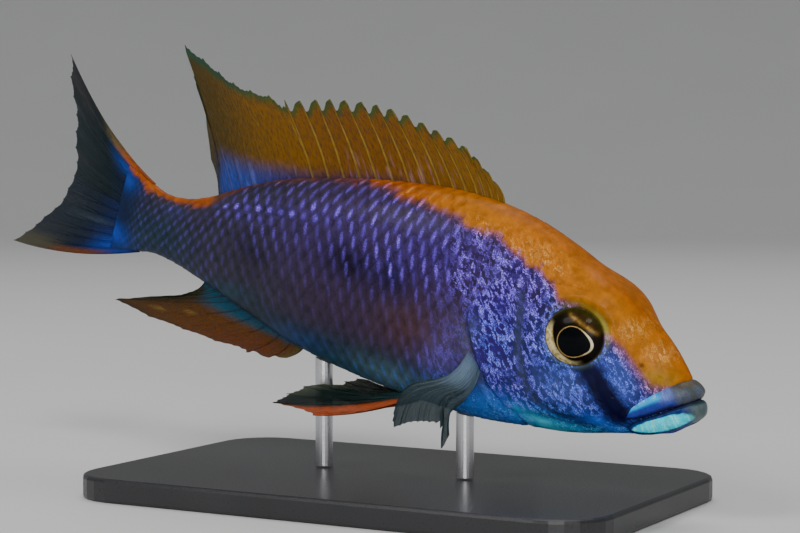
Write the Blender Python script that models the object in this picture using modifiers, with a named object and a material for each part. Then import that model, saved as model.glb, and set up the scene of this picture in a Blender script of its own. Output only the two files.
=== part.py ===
"""A male Otopharynx lithobates, a cichlid of Lake Malawi, life size on a plain display stand.

The fish swims towards +X with its head a little down and its tail bent to its left.
+Z is up, its right side faces -Y, and the origin is the middle of the stand's underside.
Shapes are given in the fish's own frame: the tip of the snout is its origin, the body runs
back along -X, and lengths along and across it are shares of the standard length.
"""

import math

import bmesh
import bpy
import numpy as np
from mathutils import Matrix

# Driving dimensions, in metres and degrees.
STANDARD_LENGTH = 0.115
GAP = 0.0003
PITCH_DEG = 13.0
TAIL_SIDE_BEND_DEG = -11.0
TAIL_RISE_DEG = 4.0
BEND_START = 0.35
SNOUT_X = 0.0761
SNOUT_Z = 0.0205

# The body's outline from behind the lips to the tail fin, as shares of the standard length.
BACK_STATIONS = [0.028, 0.036, 0.052, 0.076, 0.099, 0.138, 0.181, 0.236, 0.312,
                 0.403, 0.536, 0.639, 0.743, 0.820, 0.868, 0.920, 0.970, 1.000]
BACK_HEIGHTS = [0.005, 0.014, 0.031, 0.0535, 0.071, 0.101, 0.120, 0.144, 0.167,
                0.178, 0.166, 0.145, 0.115, 0.080, 0.054, 0.035, 0.031, 0.037]
BELLY_STATIONS = [0.028, 0.041, 0.059, 0.079, 0.116, 0.176, 0.237, 0.330, 0.413, 0.552,
                  0.645, 0.726, 0.804, 0.860, 0.920, 0.965, 1.000]
BELLY_HEIGHTS = [-0.056, -0.067, -0.074, -0.080, -0.090, -0.106, -0.117, -0.130, -0.131, -0.126,
                 -0.116, -0.100, -0.084, -0.074, -0.067, -0.068, -0.077]
SIDE_STATIONS = [0.028, 0.034, 0.042, 0.055, 0.076, 0.099, 0.118, 0.150, 0.184, 0.250,
                 0.330, 0.420, 0.520, 0.620, 0.720, 0.800, 0.860, 0.930, 1.000]
HALF_WIDTHS = [0.010, 0.016, 0.022, 0.029, 0.037, 0.045, 0.053, 0.062, 0.067, 0.074,
               0.080, 0.079, 0.073, 0.062, 0.047, 0.036, 0.028, 0.020, 0.013]
WIDEST_HEIGHTS = [-0.026, -0.026, -0.024, -0.022, -0.018, -0.014, -0.010, -0.006, -0.004, -0.006,
                  -0.004, 0.004, 0.010, 0.012, 0.008, 0.002, -0.006, -0.015, -0.019]
SECTION_POWER = 2.1
CROWN_STATIONS = [0.060, 0.100, 0.130, 0.160, 0.200, 0.250, 0.310]
CROWN_POWERS = [2.10, 2.25, 3.70, 4.30, 2.60, 2.20, 2.10]
BODY_SIDES = 36

# Where the body is parted, and the stations of the head's rings.
HEAD_STATIONS = [0.028, 0.031, 0.035, 0.041, 0.049, 0.060, 0.076, 0.096, 0.116, 0.136,
                 0.156, 0.176, 0.198, 0.220, 0.242, 0.264, 0.288, 0.312, 0.336, 0.362]
TORSO_FRONT = 0.225
TORSO_RINGS = 21
STALK_FRONT = 0.868
STALK_RINGS = 7
SIDE_REACH = 0.023
FRONT_REACH = -0.05

# Gill cover: its rear margin and the groove before it, as (share back, share up) in side view.
GILL_MARGIN = [(0.300, 0.200), (0.303, 0.120), (0.318, 0.082), (0.336, 0.060), (0.346, 0.036),
               (0.346, 0.016), (0.338, -0.004), (0.327, -0.024), (0.312, -0.048),
               (0.294, -0.072), (0.272, -0.092), (0.250, -0.108), (0.236, -0.150)]
GILL_GROOVE = [(0.275, 0.077), (0.268, 0.050), (0.259, 0.010), (0.249, -0.023),
               (0.237, -0.048), (0.222, -0.066)]
GILL_COVER_TOP = [(0.312, 0.080), (0.300, 0.084)]
GILL_COVER_FOOT = [(0.282, -0.074), (0.250, -0.078)]
GILL_FLARE = 0.0006
GILL_FLARE_START = 0.24
GILL_FLARE_LENGTH = 0.08
GILL_COVER_INNER = 0.050
GILL_COVER_OVERRUN = 0.03

# Eye: an ellipsoid sunk in the head along the skin's normal.
EYE_AT = (0.189, 0.033)
EYE_RADIUS = 0.0056
EYE_DEPTH_RADIUS = 0.0038
EYE_SUNK = 0.0020

# Mouth: the line between the lips from the front to the corner, as (share back, up, half
# width) of the lips' middle. Each lip is an ellipse in section, thinner towards the corners.
MOUTH_LINE = [(0.0245, -0.0135, 0.0000), (0.0255, -0.0150, 0.0085), (0.0300, -0.0190, 0.0160),
              (0.0400, -0.0270, 0.0225), (0.0560, -0.0390, 0.0282), (0.0780, -0.0540, 0.0328),
              (0.0990, -0.0670, 0.0340)]
UPPER_LIP_HALF_HEIGHT = 0.00175
LOWER_LIP_HALF_HEIGHT = 0.00190
LIP_HALF_DEPTH = 0.00120
LIP_CORNER_SHARE = 0.52
LIP_TAPER_POWER = 1.6
LIP_END_POWER = 14
LIP_END_SHARE = 0.30
LIP_RINGS = 33
LIP_SIDES = 12
NOSTRIL_AT = (0.094, 0.018)
NOSTRIL_RADIUS = 0.0005

# Fins: each ray's tip as (share back, share up), with the half width too on the paired fins.
DORSAL_ROOTS = [0.362, 0.368, 0.377, 0.387, 0.400, 0.418, 0.438, 0.461, 0.487, 0.513, 0.541, 0.569,
                0.597, 0.625, 0.652, 0.680, 0.708, 0.736, 0.762, 0.786, 0.808, 0.824, 0.834,
                0.842, 0.848, 0.852]
DORSAL_SPINES = 16
DORSAL_TIPS = [(0.378, 0.197), (0.398, 0.212), (0.419, 0.226), (0.442, 0.238), (0.466, 0.246),
               (0.492, 0.251), (0.519, 0.256), (0.547, 0.261), (0.575, 0.264), (0.603, 0.264),
               (0.631, 0.262), (0.659, 0.258), (0.687, 0.253), (0.714, 0.246), (0.741, 0.238),
               (0.770, 0.232), (0.805, 0.231), (0.842, 0.230), (0.878, 0.233), (0.915, 0.241),
               (0.955, 0.252), (0.998, 0.262), (0.972, 0.231), (0.938, 0.195), (0.911, 0.153),
               (0.888, 0.108)]
ANAL_ROOT_SPAN = (0.640, 0.842)
ANAL_TIPS = [(0.664, -0.141), (0.697, -0.151), (0.738, -0.156), (0.800, -0.158), (0.868, -0.162),
             (0.944, -0.167), (1.020, -0.166), (0.984, -0.150), (0.945, -0.136),
             (0.908, -0.123), (0.880, -0.109)]
CAUDAL_RAYS_A_LOBE = 8
CAUDAL_MIDDLE = -0.021
CAUDAL_FORK = (1.190, -0.012)
CAUDAL_SAGS = {"upper": 0.018, "lower": 0.012}
UPPER_LOBE_TIPS = [(1.282, 0.169), (1.262, 0.136), (1.243, 0.108), (1.227, 0.082),
                   (1.213, 0.057), (1.202, 0.033), (1.194, 0.010)]
LOWER_LOBE_TIPS = [(1.312, -0.172), (1.288, -0.148), (1.262, -0.124), (1.240, -0.102),
                   (1.221, -0.080), (1.206, -0.058), (1.196, -0.036)]
PECTORAL_ROOTS = [(0.331, -0.022), (0.308, -0.056)]
PECTORAL_TIPS = [(0.395, -0.130, 0.140), (0.394, -0.139, 0.140), (0.390, -0.147, 0.141),
                 (0.382, -0.142, 0.142), (0.374, -0.137, 0.143), (0.365, -0.132, 0.143),
                 (0.356, -0.129, 0.143), (0.347, -0.126, 0.143), (0.338, -0.124, 0.142),
                 (0.329, -0.123, 0.141), (0.321, -0.128, 0.140), (0.313, -0.154, 0.140),
                 (0.308, -0.138, 0.138)]
PECTORAL_FREE_RAY = 11
PELVIC_ROOTS = [(0.400, 0.030), (0.425, 0.018)]
PELVIC_TIPS = [(0.560, -0.192, 0.062), (0.631, -0.196, 0.066), (0.606, -0.180, 0.064),
               (0.580, -0.166, 0.056), (0.556, -0.156, 0.046), (0.534, -0.149, 0.036)]
FIN_NOTCHES = {"spine": 0.16, "soft": 0.05, "anal_spine": 0.12, "anal_soft": 0.04,
               "caudal": 0.02, "pectoral": 0.04, "free_ray": 0.10, "pelvic": 0.05}
DORSAL_BOW = 0.006
ANAL_BOW = 0.010
ANAL_SPINES = 3
PECTORAL_BOW = (0.0, 0.0022, 0.0)
PECTORAL_SWEEPS = (0.0008, 0.0006)
PELVIC_BOW = (0.0, 0.0006, -0.0012)
FIN_ROWS = 6
FIN_SUNK = 0.0014
RAY_HALF_THICKNESS = 0.00050
MEMBRANE_HALF_THICKNESS = 0.00028
TIP_HALF_THICKNESS = 0.00020

# Stand.
BASE_X = 0.020
BASE_LENGTH = 0.096
BASE_WIDTH = 0.058
BASE_HEIGHT = 0.004
BASE_CORNER = 0.009
BASE_EDGE = 0.0006
ROD_RADIUS = 0.0015
ROD_SHARES = {"stand_rod_front": 0.355, "stand_rod_rear": 0.600}


def clear_scene():
    for obj in list(bpy.data.objects):
        bpy.data.objects.remove(obj, do_unlink=True)


def smooth(at, stations, values):
    """Cubic Hermite curve through the values, with slopes from their neighbours."""
    xs, ys = np.asarray(stations, float), np.asarray(values, float)
    slopes = np.gradient(ys, xs)
    at = np.clip(np.asarray(at, float), xs[0], xs[-1])
    i = np.clip(np.searchsorted(xs, at) - 1, 0, len(xs) - 2)
    step = xs[i + 1] - xs[i]
    s = (at - xs[i]) / step
    return ((2 * s**3 - 3 * s**2 + 1) * ys[i] + (s**3 - 2 * s**2 + s) * step * slopes[i]
            + (3 * s**2 - 2 * s**3) * ys[i + 1] + (s**3 - s**2) * step * slopes[i + 1])


def spine_frames(shares):
    """Position, side and up vectors of the backbone's line; the tail bends sideways and up."""
    fine = np.linspace(0.0, 1.4, 1401)
    turn = np.clip((fine - BEND_START) / (1 - BEND_START), 0, None) ** 1.5
    side = np.radians(TAIL_SIDE_BEND_DEG) * turn
    rise = np.radians(TAIL_RISE_DEG) * turn
    heading = np.stack([np.cos(side) * np.cos(rise), np.sin(side) * np.cos(rise), -np.sin(rise)], 1)
    steps = (heading[1:] + heading[:-1]) / 2 * (fine[1] - fine[0])
    line = -np.concatenate([np.zeros((1, 3)), np.cumsum(steps, 0)]) * STANDARD_LENGTH
    shares = np.atleast_1d(np.asarray(shares, float))
    place = np.stack([np.interp(shares, fine, line[:, k]) for k in range(3)], 1)
    ahead = np.stack([np.interp(shares, fine, heading[:, k]) for k in range(3)], 1)
    ahead /= np.linalg.norm(ahead, axis=1, keepdims=True)
    up = np.array([0, 0, 1.0]) - ahead * ahead[:, 2:3]
    up /= np.linalg.norm(up, axis=1, keepdims=True)
    left = np.cross(up, ahead)
    return place, left, up


def in_fish(share, height, sideways=0.0):
    """Points of the fish's own frame, in metres, from shares back, up and to the left."""
    share, height, sideways = np.broadcast_arrays(np.atleast_1d(share), height, sideways)
    place, left, up = spine_frames(share)
    return place + (left * sideways[:, None] + up * height[:, None]) * STANDARD_LENGTH


def section_power(share, upper):
    """How square a section is: the head's crown is broad and flat between the eyes."""
    return np.where(upper, smooth(share, CROWN_STATIONS, CROWN_POWERS), SECTION_POWER)


def half_width_at(share, height):
    """Half the body's width, as a share, at a height on one section."""
    widest = smooth(share, SIDE_STATIONS, WIDEST_HEIGHTS)
    top = smooth(share, BACK_STATIONS, BACK_HEIGHTS)
    foot = smooth(share, BELLY_STATIONS, BELLY_HEIGHTS)
    reach = np.where(height > widest, top - widest, widest - foot)
    power = section_power(share, height > widest)
    rest = np.clip(1 - np.abs((height - widest) / reach) ** power, 0, 1)
    return smooth(share, SIDE_STATIONS, HALF_WIDTHS) * rest ** (1 / power)


def body_rings(shares, swell=0.0, flare=0.0):
    """Rings of the body, superellipses with a taller back; swell and flare are in metres."""
    angle = np.linspace(0, 2 * np.pi, BODY_SIDES, endpoint=False)
    power = section_power(shares[:, None], np.sin(angle) > 0)
    across = np.sign(np.cos(angle)) * np.abs(np.cos(angle)) ** (2 / power)
    rise = np.sign(np.sin(angle)) * np.abs(np.sin(angle)) ** (2 / power)
    extra = swell / STANDARD_LENGTH
    widest = smooth(shares, SIDE_STATIONS, WIDEST_HEIGHTS)[:, None]
    top = smooth(shares, BACK_STATIONS, BACK_HEIGHTS)[:, None] + extra
    foot = smooth(shares, BELLY_STATIONS, BELLY_HEIGHTS)[:, None] - extra
    opened = np.clip((shares - GILL_FLARE_START) / GILL_FLARE_LENGTH, 0, 1)[:, None]
    lift = flare / STANDARD_LENGTH * opened
    half = smooth(shares, SIDE_STATIONS, HALF_WIDTHS)[:, None] + extra + lift
    height = widest + np.where(rise > 0, top - widest, widest - foot) * rise
    place, left, up = spine_frames(shares)
    sideways = half * across
    return place[:, None] + (left[:, None] * sideways[..., None]
                             + up[:, None] * height[..., None]) * STANDARD_LENGTH


def new_object(name, verts, faces, collection):
    """A closed mesh object whose faces point out."""
    mesh = bpy.data.meshes.new(name)
    mesh.from_pydata([tuple(v) for v in verts], [], [tuple(f) for f in faces])
    work = bmesh.new()
    work.from_mesh(mesh)
    bmesh.ops.recalc_face_normals(work, faces=work.faces)
    work.to_mesh(mesh)
    work.free()
    obj = bpy.data.objects.new(name, mesh)
    collection.objects.link(obj)
    return obj


def loft(name, rings, collection):
    """A closed skin over rings of equal size, with a flat cap at each end."""
    count, sides = rings.shape[:2]
    faces = []
    for i in range(count - 1):
        for j in range(sides):
            k = (j + 1) % sides
            faces.append((i * sides + j, i * sides + k, (i + 1) * sides + k, (i + 1) * sides + j))
    faces.append(tuple(range(sides)))
    faces.append(tuple((count - 1) * sides + j for j in reversed(range(sides))))
    return new_object(name, rings.reshape(-1, 3), faces, collection)


def side_prism(name, outline, inner, outer, collection):
    """A side-view outline of (share back, share up) points, given thickness along Y in metres."""
    flat = np.array(outline, float) * (-STANDARD_LENGTH, STANDARD_LENGTH)
    near = np.insert(flat, 1, inner, axis=1)
    far = np.insert(flat, 1, outer, axis=1)
    count = len(flat)
    faces = [tuple(range(count)), tuple(reversed(range(count, 2 * count)))]
    for j in range(count):
        k = (j + 1) % count
        faces.append((j, k, count + k, count + j))
    return new_object(name, np.concatenate([near, far]), faces, collection)


def curve_between(points, per_span):
    """More points on a smooth curve through the given (share back, share up) points."""
    points = np.array(points, float)
    run = np.concatenate([[0], np.cumsum(np.linalg.norm(np.diff(points, axis=0), axis=1))])
    at = np.linspace(0, run[-1], (len(points) - 1) * per_span + 1)
    return [(smooth(a, run, points[:, 0]), smooth(a, run, points[:, 1])) for a in at]


def apply_boolean(obj, cutter, operation, solver="EXACT"):
    """Applies one Boolean, then keeps the largest closed surface that it leaves."""
    modifier = obj.modifiers.new(operation.lower(), "BOOLEAN")
    modifier.operation = operation
    modifier.object = cutter
    modifier.solver = solver
    graph = bpy.context.evaluated_depsgraph_get()
    mesh = bpy.data.meshes.new_from_object(obj.evaluated_get(graph))
    obj.modifiers.clear()
    obj.data = mesh
    keep_largest(obj)


def keep_largest(obj):
    """Drops every closed surface but the one with the most points."""
    work = bmesh.new()
    work.from_mesh(obj.data)
    bmesh.ops.remove_doubles(work, verts=work.verts, dist=1e-6)
    left = set(work.verts)
    pieces = []
    while left:
        piece, edge = set(), [left.pop()]
        while edge:
            vert = edge.pop()
            piece.add(vert)
            near = {e.other_vert(vert) for e in vert.link_edges} & left
            left -= near
            edge.extend(near)
        pieces.append(piece)
    pieces.sort(key=len)
    loose = [v for piece in pieces[:-1] for v in piece]
    bmesh.ops.delete(work, geom=loose, context="VERTS")
    work.to_mesh(obj.data)
    work.free()


def surface_point(share, height, side):
    """A point of the flank at a share back and up; side is 1 on the left and -1 on the right."""
    return in_fish(share, height, side * half_width_at(share, height))[0]


def surface_normal(share, height, side):
    """The flank's outward normal, from differences along and up the surface."""
    reach = 0.004
    along = surface_point(share + reach, height, side) - surface_point(share - reach, height, side)
    rising = surface_point(share, height + reach, side) - surface_point(share, height - reach, side)
    normal = np.cross(along, rising)
    normal *= np.sign(normal[1]) * side
    return normal / np.linalg.norm(normal)


def ellipsoid(name, centre, normal, radius, depth, collection, rings=12, sides=20):
    """An ellipsoid whose short axis lies along the normal."""
    mesh = bpy.data.meshes.new(name)
    work = bmesh.new()
    bmesh.ops.create_uvsphere(work, u_segments=sides, v_segments=rings, radius=1.0)
    axis = np.asarray(normal)
    first = np.cross(axis, (1.0, 0.0, 0.0))
    first /= np.linalg.norm(first)
    second = np.cross(axis, first)
    for vert in work.verts:
        x, y, z = vert.co
        vert.co = centre + first * x * radius + second * y * radius + axis * z * depth
    work.normal_update()
    bmesh.ops.recalc_face_normals(work, faces=work.faces)
    work.to_mesh(mesh)
    work.free()
    obj = bpy.data.objects.new(name, mesh)
    collection.objects.link(obj)
    return obj


def eye_centre(side):
    """The middle of an eye, sunk along the skin's normal, and that normal."""
    normal = surface_normal(*EYE_AT, side)
    return surface_point(*EYE_AT, side) - normal * EYE_SUNK, normal


def lip(name, side, half_height, slack, collection):
    """One lip, above the mouth's line for side 1 and below it for -1, from corner to corner."""
    right = [(share, height, -half) for share, height, half in reversed(MOUTH_LINE)]
    points = np.array(right + MOUTH_LINE[1:])
    run = np.concatenate([[0], np.cumsum(np.linalg.norm(np.diff(points, axis=0), axis=1))])
    place = np.sin(np.linspace(-np.pi / 2, np.pi / 2, LIP_RINGS))
    share, height, half = (smooth(run[-1] * (place + 1) / 2, run, points[:, k]) for k in range(3))
    path = in_fish(share, height, half)
    thick = 1 - (1 - LIP_CORNER_SHARE) * np.abs(place) ** LIP_TAPER_POWER
    blunt = np.sqrt(np.clip(1 - np.abs(place) ** LIP_END_POWER, LIP_END_SHARE**2, 1))
    tangent = np.gradient(path, axis=0)
    outward = np.cross(tangent, (0, 0, 1.0))
    outward /= np.linalg.norm(outward, axis=1, keepdims=True)
    rising = np.cross(outward, tangent)
    rising /= np.linalg.norm(rising, axis=1, keepdims=True)
    middle = path + rising * side * (half_height * thick + GAP / 2)[:, None]
    angle = np.linspace(0, 2 * np.pi, LIP_SIDES, endpoint=False)
    wide = (LIP_HALF_DEPTH * thick * blunt + slack)[:, None] * np.cos(angle)
    tall = (half_height * thick * blunt + slack)[:, None] * np.sin(angle)
    rings = middle[:, None] + outward[:, None] * wide[..., None] + rising[:, None] * tall[..., None]
    return loft(name, rings, collection)


def fin(name, roots, tips, bow, notch, collection, sweep=0.0):
    """A webbed fin: columns along its rays and between them, each a bowed line of points.

    A ray's column stands out from the membrane on both faces. Between two rays the margin
    is drawn in by the notch, as a share of the length, which leaves each ray's tip free.
    A sweep bends each ray in an S: forward and down near its root, back and up near its tip.
    """
    roots, tips = np.asarray(roots, float), np.asarray(tips, float)
    count = len(roots)
    order = np.arange(2 * count - 1) / 2
    root = np.stack([np.interp(order, range(count), roots[:, k]) for k in range(3)], 1)
    tip = np.stack([np.interp(order, range(count), tips[:, k]) for k in range(3)], 1)
    web = (np.arange(len(order)) % 2 == 1)[:, None]
    tip = np.where(web, tip + (root - tip) * np.interp(order, range(count), notch)[:, None], tip)
    bend = np.stack([np.interp(order, range(count), bow[:, k]) for k in range(3)], 1)
    v = np.linspace(0, 1, FIN_ROWS + 1)[None, :, None]
    grid = root[:, None] * (1 - v) + tip[:, None] * v + bend[:, None] * 4 * v * (1 - v)
    swept = np.interp(order / (count - 1), (0, 1), np.broadcast_to(sweep, 2))
    grid = grid + swept[:, None, None] * np.array((1, 0, -1)) * np.sin(2 * np.pi * v)
    normal = np.cross(np.gradient(grid, axis=0), np.gradient(grid, axis=1))
    normal /= np.linalg.norm(normal, axis=2, keepdims=True)
    middle = np.where(web, MEMBRANE_HALF_THICKNESS, RAY_HALF_THICKNESS)[:, None]
    half = middle + (TIP_HALF_THICKNESS - middle) * v**2
    points = np.concatenate([grid + normal * half, grid - normal * half]).reshape(-1, 3)
    columns, rows = grid.shape[:2]
    offset = columns * rows
    faces = []
    for i in range(columns - 1):
        for j in range(rows - 1):
            a, b = i * rows + j, (i + 1) * rows + j
            faces += [(a, b, b + 1), (a, b + 1, a + 1)]
            faces += [(offset + b + 1, offset + b, offset + a)]
            faces += [(offset + a + 1, offset + b + 1, offset + a)]
    rim = ([(i * rows, (i + 1) * rows) for i in range(columns - 1)]
           + [((columns - 1) * rows + j, (columns - 1) * rows + j + 1) for j in range(rows - 1)]
           + [((i + 1) * rows - 1, i * rows - 1) for i in range(columns - 1, 0, -1)]
           + [(j + 1, j) for j in range(rows - 2, -1, -1)])
    for a, b in rim:
        faces += [(a, offset + a, offset + b), (a, offset + b, b)]
    return new_object(name, points, faces, collection)


def midline_fin(name, share, tips, edge_stations, edge_heights, bow_back, notch, parts):
    """A fin of the back or belly, its roots at the shares given and sunk in the outline."""
    height = smooth(share, edge_stations, edge_heights)
    tips = np.array(tips)
    sink = np.sign(height) * FIN_SUNK / STANDARD_LENGTH
    roots = in_fish(share, height - sink)
    ends = in_fish(tips[:, 0], tips[:, 1])
    middles = in_fish((share + tips[:, 0]) / 2 - bow_back, (height + tips[:, 1]) / 2)
    bow = middles - in_fish((share + tips[:, 0]) / 2, (height + tips[:, 1]) / 2)
    return fin(name, roots, ends, bow, notch, parts)


def head_outline(slack):
    """The head's side view: the gill margin, moved back by the slack, and a box before it."""
    margin = [(share + slack, height) for share, height in curve_between(GILL_MARGIN, 2)]
    return margin + [(FRONT_REACH, margin[-1][1]), (FRONT_REACH, margin[0][1])]


def build_torso(parts, tools):
    """Torso and tail stalk; the gill opening parts the torso from the head."""
    slack = GAP / STANDARD_LENGTH
    stations = np.linspace(TORSO_FRONT, STALK_FRONT - slack, TORSO_RINGS)
    torso = loft("torso", body_rings(stations), parts)
    outline = head_outline(slack)
    cutter = side_prism("gill_cut", outline, -SIDE_REACH, SIDE_REACH, tools)
    apply_boolean(torso, cutter, "DIFFERENCE")
    stalk = loft("tail_stalk", body_rings(np.linspace(STALK_FRONT, 1.0, STALK_RINGS)), parts)
    return torso, stalk


def build_head(parts, tools):
    """Head with sockets, gill recesses, lip grooves and nostrils, and the pieces in them."""
    head = loft("head", body_rings(np.array(HEAD_STATIONS), flare=GILL_FLARE), parts)
    keep = side_prism("head_keep", head_outline(0.0), -SIDE_REACH, SIDE_REACH, tools)
    apply_boolean(head, keep, "INTERSECT")

    foot, top = GILL_COVER_FOOT[0][1], GILL_COVER_TOP[0][1]
    rear = [point for point in curve_between(GILL_MARGIN, 2) if foot < point[1] < top - 0.001]
    cover = GILL_COVER_TOP[:1] + rear + GILL_COVER_FOOT + GILL_GROOVE[::-1] + GILL_COVER_TOP[1:]
    slack = GAP / STANDARD_LENGTH
    for side, word in ((-1, "right"), (1, "left")):
        inner = side * GILL_COVER_INNER * STANDARD_LENGTH
        outer = side * SIDE_REACH
        recess = side_prism("recess_" + word, grown(cover, slack), inner - side * GAP, outer, tools)
        plate = head.copy()
        plate.data = head.data.copy()
        plate.name = "gill_cover_" + word
        parts.objects.link(plate)
        blank = side_prism("blank_" + word, grown(cover, 0.0), inner, outer, tools)
        apply_boolean(plate, blank, "INTERSECT")
        apply_boolean(head, recess, "DIFFERENCE")
    for side, word in ((-1, "right"), (1, "left")):
        centre, normal = eye_centre(side)
        ellipsoid("eye_" + word, centre, normal, EYE_RADIUS, EYE_DEPTH_RADIUS, parts)
        socket = ellipsoid("socket_" + word, centre, normal,
                           EYE_RADIUS + GAP, EYE_DEPTH_RADIUS + GAP, tools)
        apply_boolean(head, socket, "DIFFERENCE")
        at = surface_point(*NOSTRIL_AT, side)
        pit = ellipsoid("pit_" + word, at, surface_normal(*NOSTRIL_AT, side),
                        NOSTRIL_RADIUS, 2 * NOSTRIL_RADIUS, tools, rings=6, sides=10)
        apply_boolean(head, pit, "DIFFERENCE")
    lips = (("upper_lip", 1, UPPER_LIP_HALF_HEIGHT), ("lower_lip", -1, LOWER_LIP_HALF_HEIGHT))
    for name, side, tall in lips:
        lip(name, side, tall, 0.0, parts)
        groove = lip(name + "_groove", side, tall, GAP, tools)
        apply_boolean(head, groove, "DIFFERENCE", "MANIFOLD")
    return head


def grown(outline, slack):
    """The outline moved out from its middle by the slack, its rear edge run past the head."""
    points = np.array(outline)
    margin = np.array(GILL_MARGIN)
    edge = np.interp(points[:, 1], margin[::-1, 1], margin[::-1, 0])
    on_margin = points[:, 0] > edge - 0.004
    middle = points.mean(0)
    away = points - middle
    points = points + away / np.linalg.norm(away, axis=1, keepdims=True) * slack
    points[on_margin, 0] += GILL_COVER_OVERRUN
    return [tuple(p) for p in points]


def build_caudal(parts):
    """The two lobes of the tail fin, which meet along its middle as far as the fork."""
    slack = GAP / STANDARD_LENGTH
    for word, side, tips in (("upper", 1, UPPER_LOBE_TIPS), ("lower", -1, LOWER_LOBE_TIPS)):
        edge = (BACK_HEIGHTS if side > 0 else BELLY_HEIGHTS)[-1]
        inner = side * slack / 2
        tips = np.array(tips + [(CAUDAL_FORK[0], CAUDAL_FORK[1] + inner)])
        root = np.linspace(edge, CAUDAL_MIDDLE + inner, CAUDAL_RAYS_A_LOBE)
        roots = in_fish(1.0 + slack, root)
        ends = in_fish(tips[:, 0], tips[:, 1])
        sag = in_fish(1.1, -CAUDAL_SAGS[word])[0] - in_fish(1.1, 0.0)[0]
        bow = sag * np.linspace(1, 0, CAUDAL_RAYS_A_LOBE)[:, None]
        notch = np.full(CAUDAL_RAYS_A_LOBE, FIN_NOTCHES["caudal"])
        fin("caudal_fin_" + word, roots, ends, bow, notch, parts)


def build_fins(parts, tools):
    """Every fin, each cut clear of the body it grows from."""
    skin = loft("fin_clearance", body_rings(np.linspace(0.20, 1.0, 33), swell=GAP), tools)
    spiny = np.arange(len(DORSAL_TIPS)) < DORSAL_SPINES
    notch = np.where(spiny, FIN_NOTCHES["spine"], FIN_NOTCHES["soft"])
    dorsal = midline_fin("dorsal_fin", np.array(DORSAL_ROOTS), DORSAL_TIPS, BACK_STATIONS,
                         BACK_HEIGHTS, DORSAL_BOW, notch, parts)
    spiny = np.arange(len(ANAL_TIPS)) < ANAL_SPINES
    notch = np.where(spiny, FIN_NOTCHES["anal_spine"], FIN_NOTCHES["anal_soft"])
    share = np.linspace(*ANAL_ROOT_SPAN, len(ANAL_TIPS))
    anal = midline_fin("anal_fin", share, ANAL_TIPS, BELLY_STATIONS, BELLY_HEIGHTS,
                       ANAL_BOW, notch, parts)
    fins = [dorsal, anal]
    build_caudal(parts)
    for side, word in ((-1, "right"), (1, "left")):
        count = len(PECTORAL_TIPS)
        share = np.linspace(PECTORAL_ROOTS[0][0], PECTORAL_ROOTS[1][0], count)
        height = np.linspace(PECTORAL_ROOTS[0][1], PECTORAL_ROOTS[1][1], count)
        tips = np.array(PECTORAL_TIPS)
        sunk = half_width_at(share, height) - FIN_SUNK / STANDARD_LENGTH
        roots = in_fish(share, height, side * sunk)
        ends = in_fish(tips[:, 0], tips[:, 1], side * tips[:, 2])
        bow = np.tile(np.array(PECTORAL_BOW) * (1, side, 1), (count, 1))
        beside_free = np.abs(np.arange(count) - PECTORAL_FREE_RAY) == 1
        notch = np.where(beside_free, FIN_NOTCHES["free_ray"], FIN_NOTCHES["pectoral"])
        fins.append(fin("pectoral_fin_" + word, roots, ends, bow, notch, parts, PECTORAL_SWEEPS))
        count = len(PELVIC_TIPS)
        share = np.linspace(PELVIC_ROOTS[0][0], PELVIC_ROOTS[1][0], count)
        aside = np.linspace(PELVIC_ROOTS[0][1], PELVIC_ROOTS[1][1], count)
        foot = smooth(share, BELLY_STATIONS, BELLY_HEIGHTS)
        widest = smooth(share, SIDE_STATIONS, WIDEST_HEIGHTS)
        wide = smooth(share, SIDE_STATIONS, HALF_WIDTHS)
        drop = (1 - (aside / wide) ** SECTION_POWER) ** (1 / SECTION_POWER)
        height = widest - (widest - foot) * drop + FIN_SUNK / STANDARD_LENGTH
        tips = np.array(PELVIC_TIPS)
        roots = in_fish(share, height, side * aside)
        ends = in_fish(tips[:, 0], tips[:, 1], side * tips[:, 2])
        bow = np.tile(np.array(PELVIC_BOW) * (1, side, 1), (count, 1))
        notch = np.full(count, FIN_NOTCHES["pelvic"])
        fins.append(fin("pelvic_fin_" + word, roots, ends, bow, notch, parts))
    for piece in fins:
        apply_boolean(piece, skin, "DIFFERENCE")
    return skin


def build_stand(parts, skin):
    """A flat base with rounded corners, and two rods cut to the belly's shape."""
    bpy.ops.mesh.primitive_cube_add(size=1.0, location=(BASE_X, 0, BASE_HEIGHT / 2))
    base = bpy.context.active_object
    base.name = "stand_base"
    base.data.transform(Matrix.Diagonal((BASE_LENGTH, BASE_WIDTH, BASE_HEIGHT, 1)))
    base.users_collection[0].objects.unlink(base)
    parts.objects.link(base)
    work = bmesh.new()
    work.from_mesh(base.data)
    upright = [e for e in work.edges if abs(e.verts[0].co.z - e.verts[1].co.z) > BASE_HEIGHT / 2]
    bmesh.ops.bevel(work, geom=upright, offset=BASE_CORNER, segments=6, affect="EDGES", profile=0.5)
    work.to_mesh(base.data)
    work.free()
    edge = base.modifiers.new("soft_edge", "BEVEL")
    edge.width = BASE_EDGE
    edge.segments = 2
    edge.limit_method = "ANGLE"
    pitch = math.radians(PITCH_DEG)
    for name, share in ROD_SHARES.items():
        foot = in_fish(share, smooth(share, BELLY_STATIONS, BELLY_HEIGHTS))[0]
        x = SNOUT_X + foot[0] * math.cos(pitch) + foot[2] * math.sin(pitch)
        top = SNOUT_Z - foot[0] * math.sin(pitch) + foot[2] * math.cos(pitch) + 3 * ROD_RADIUS
        start = BASE_HEIGHT + GAP
        bpy.ops.mesh.primitive_cylinder_add(vertices=20, radius=ROD_RADIUS, depth=top - start,
                                            location=(x, foot[1], (top + start) / 2))
        rod = bpy.context.active_object
        rod.name = name
        rod.users_collection[0].objects.unlink(rod)
        parts.objects.link(rod)
        apply_boolean(rod, skin, "DIFFERENCE")


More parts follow.
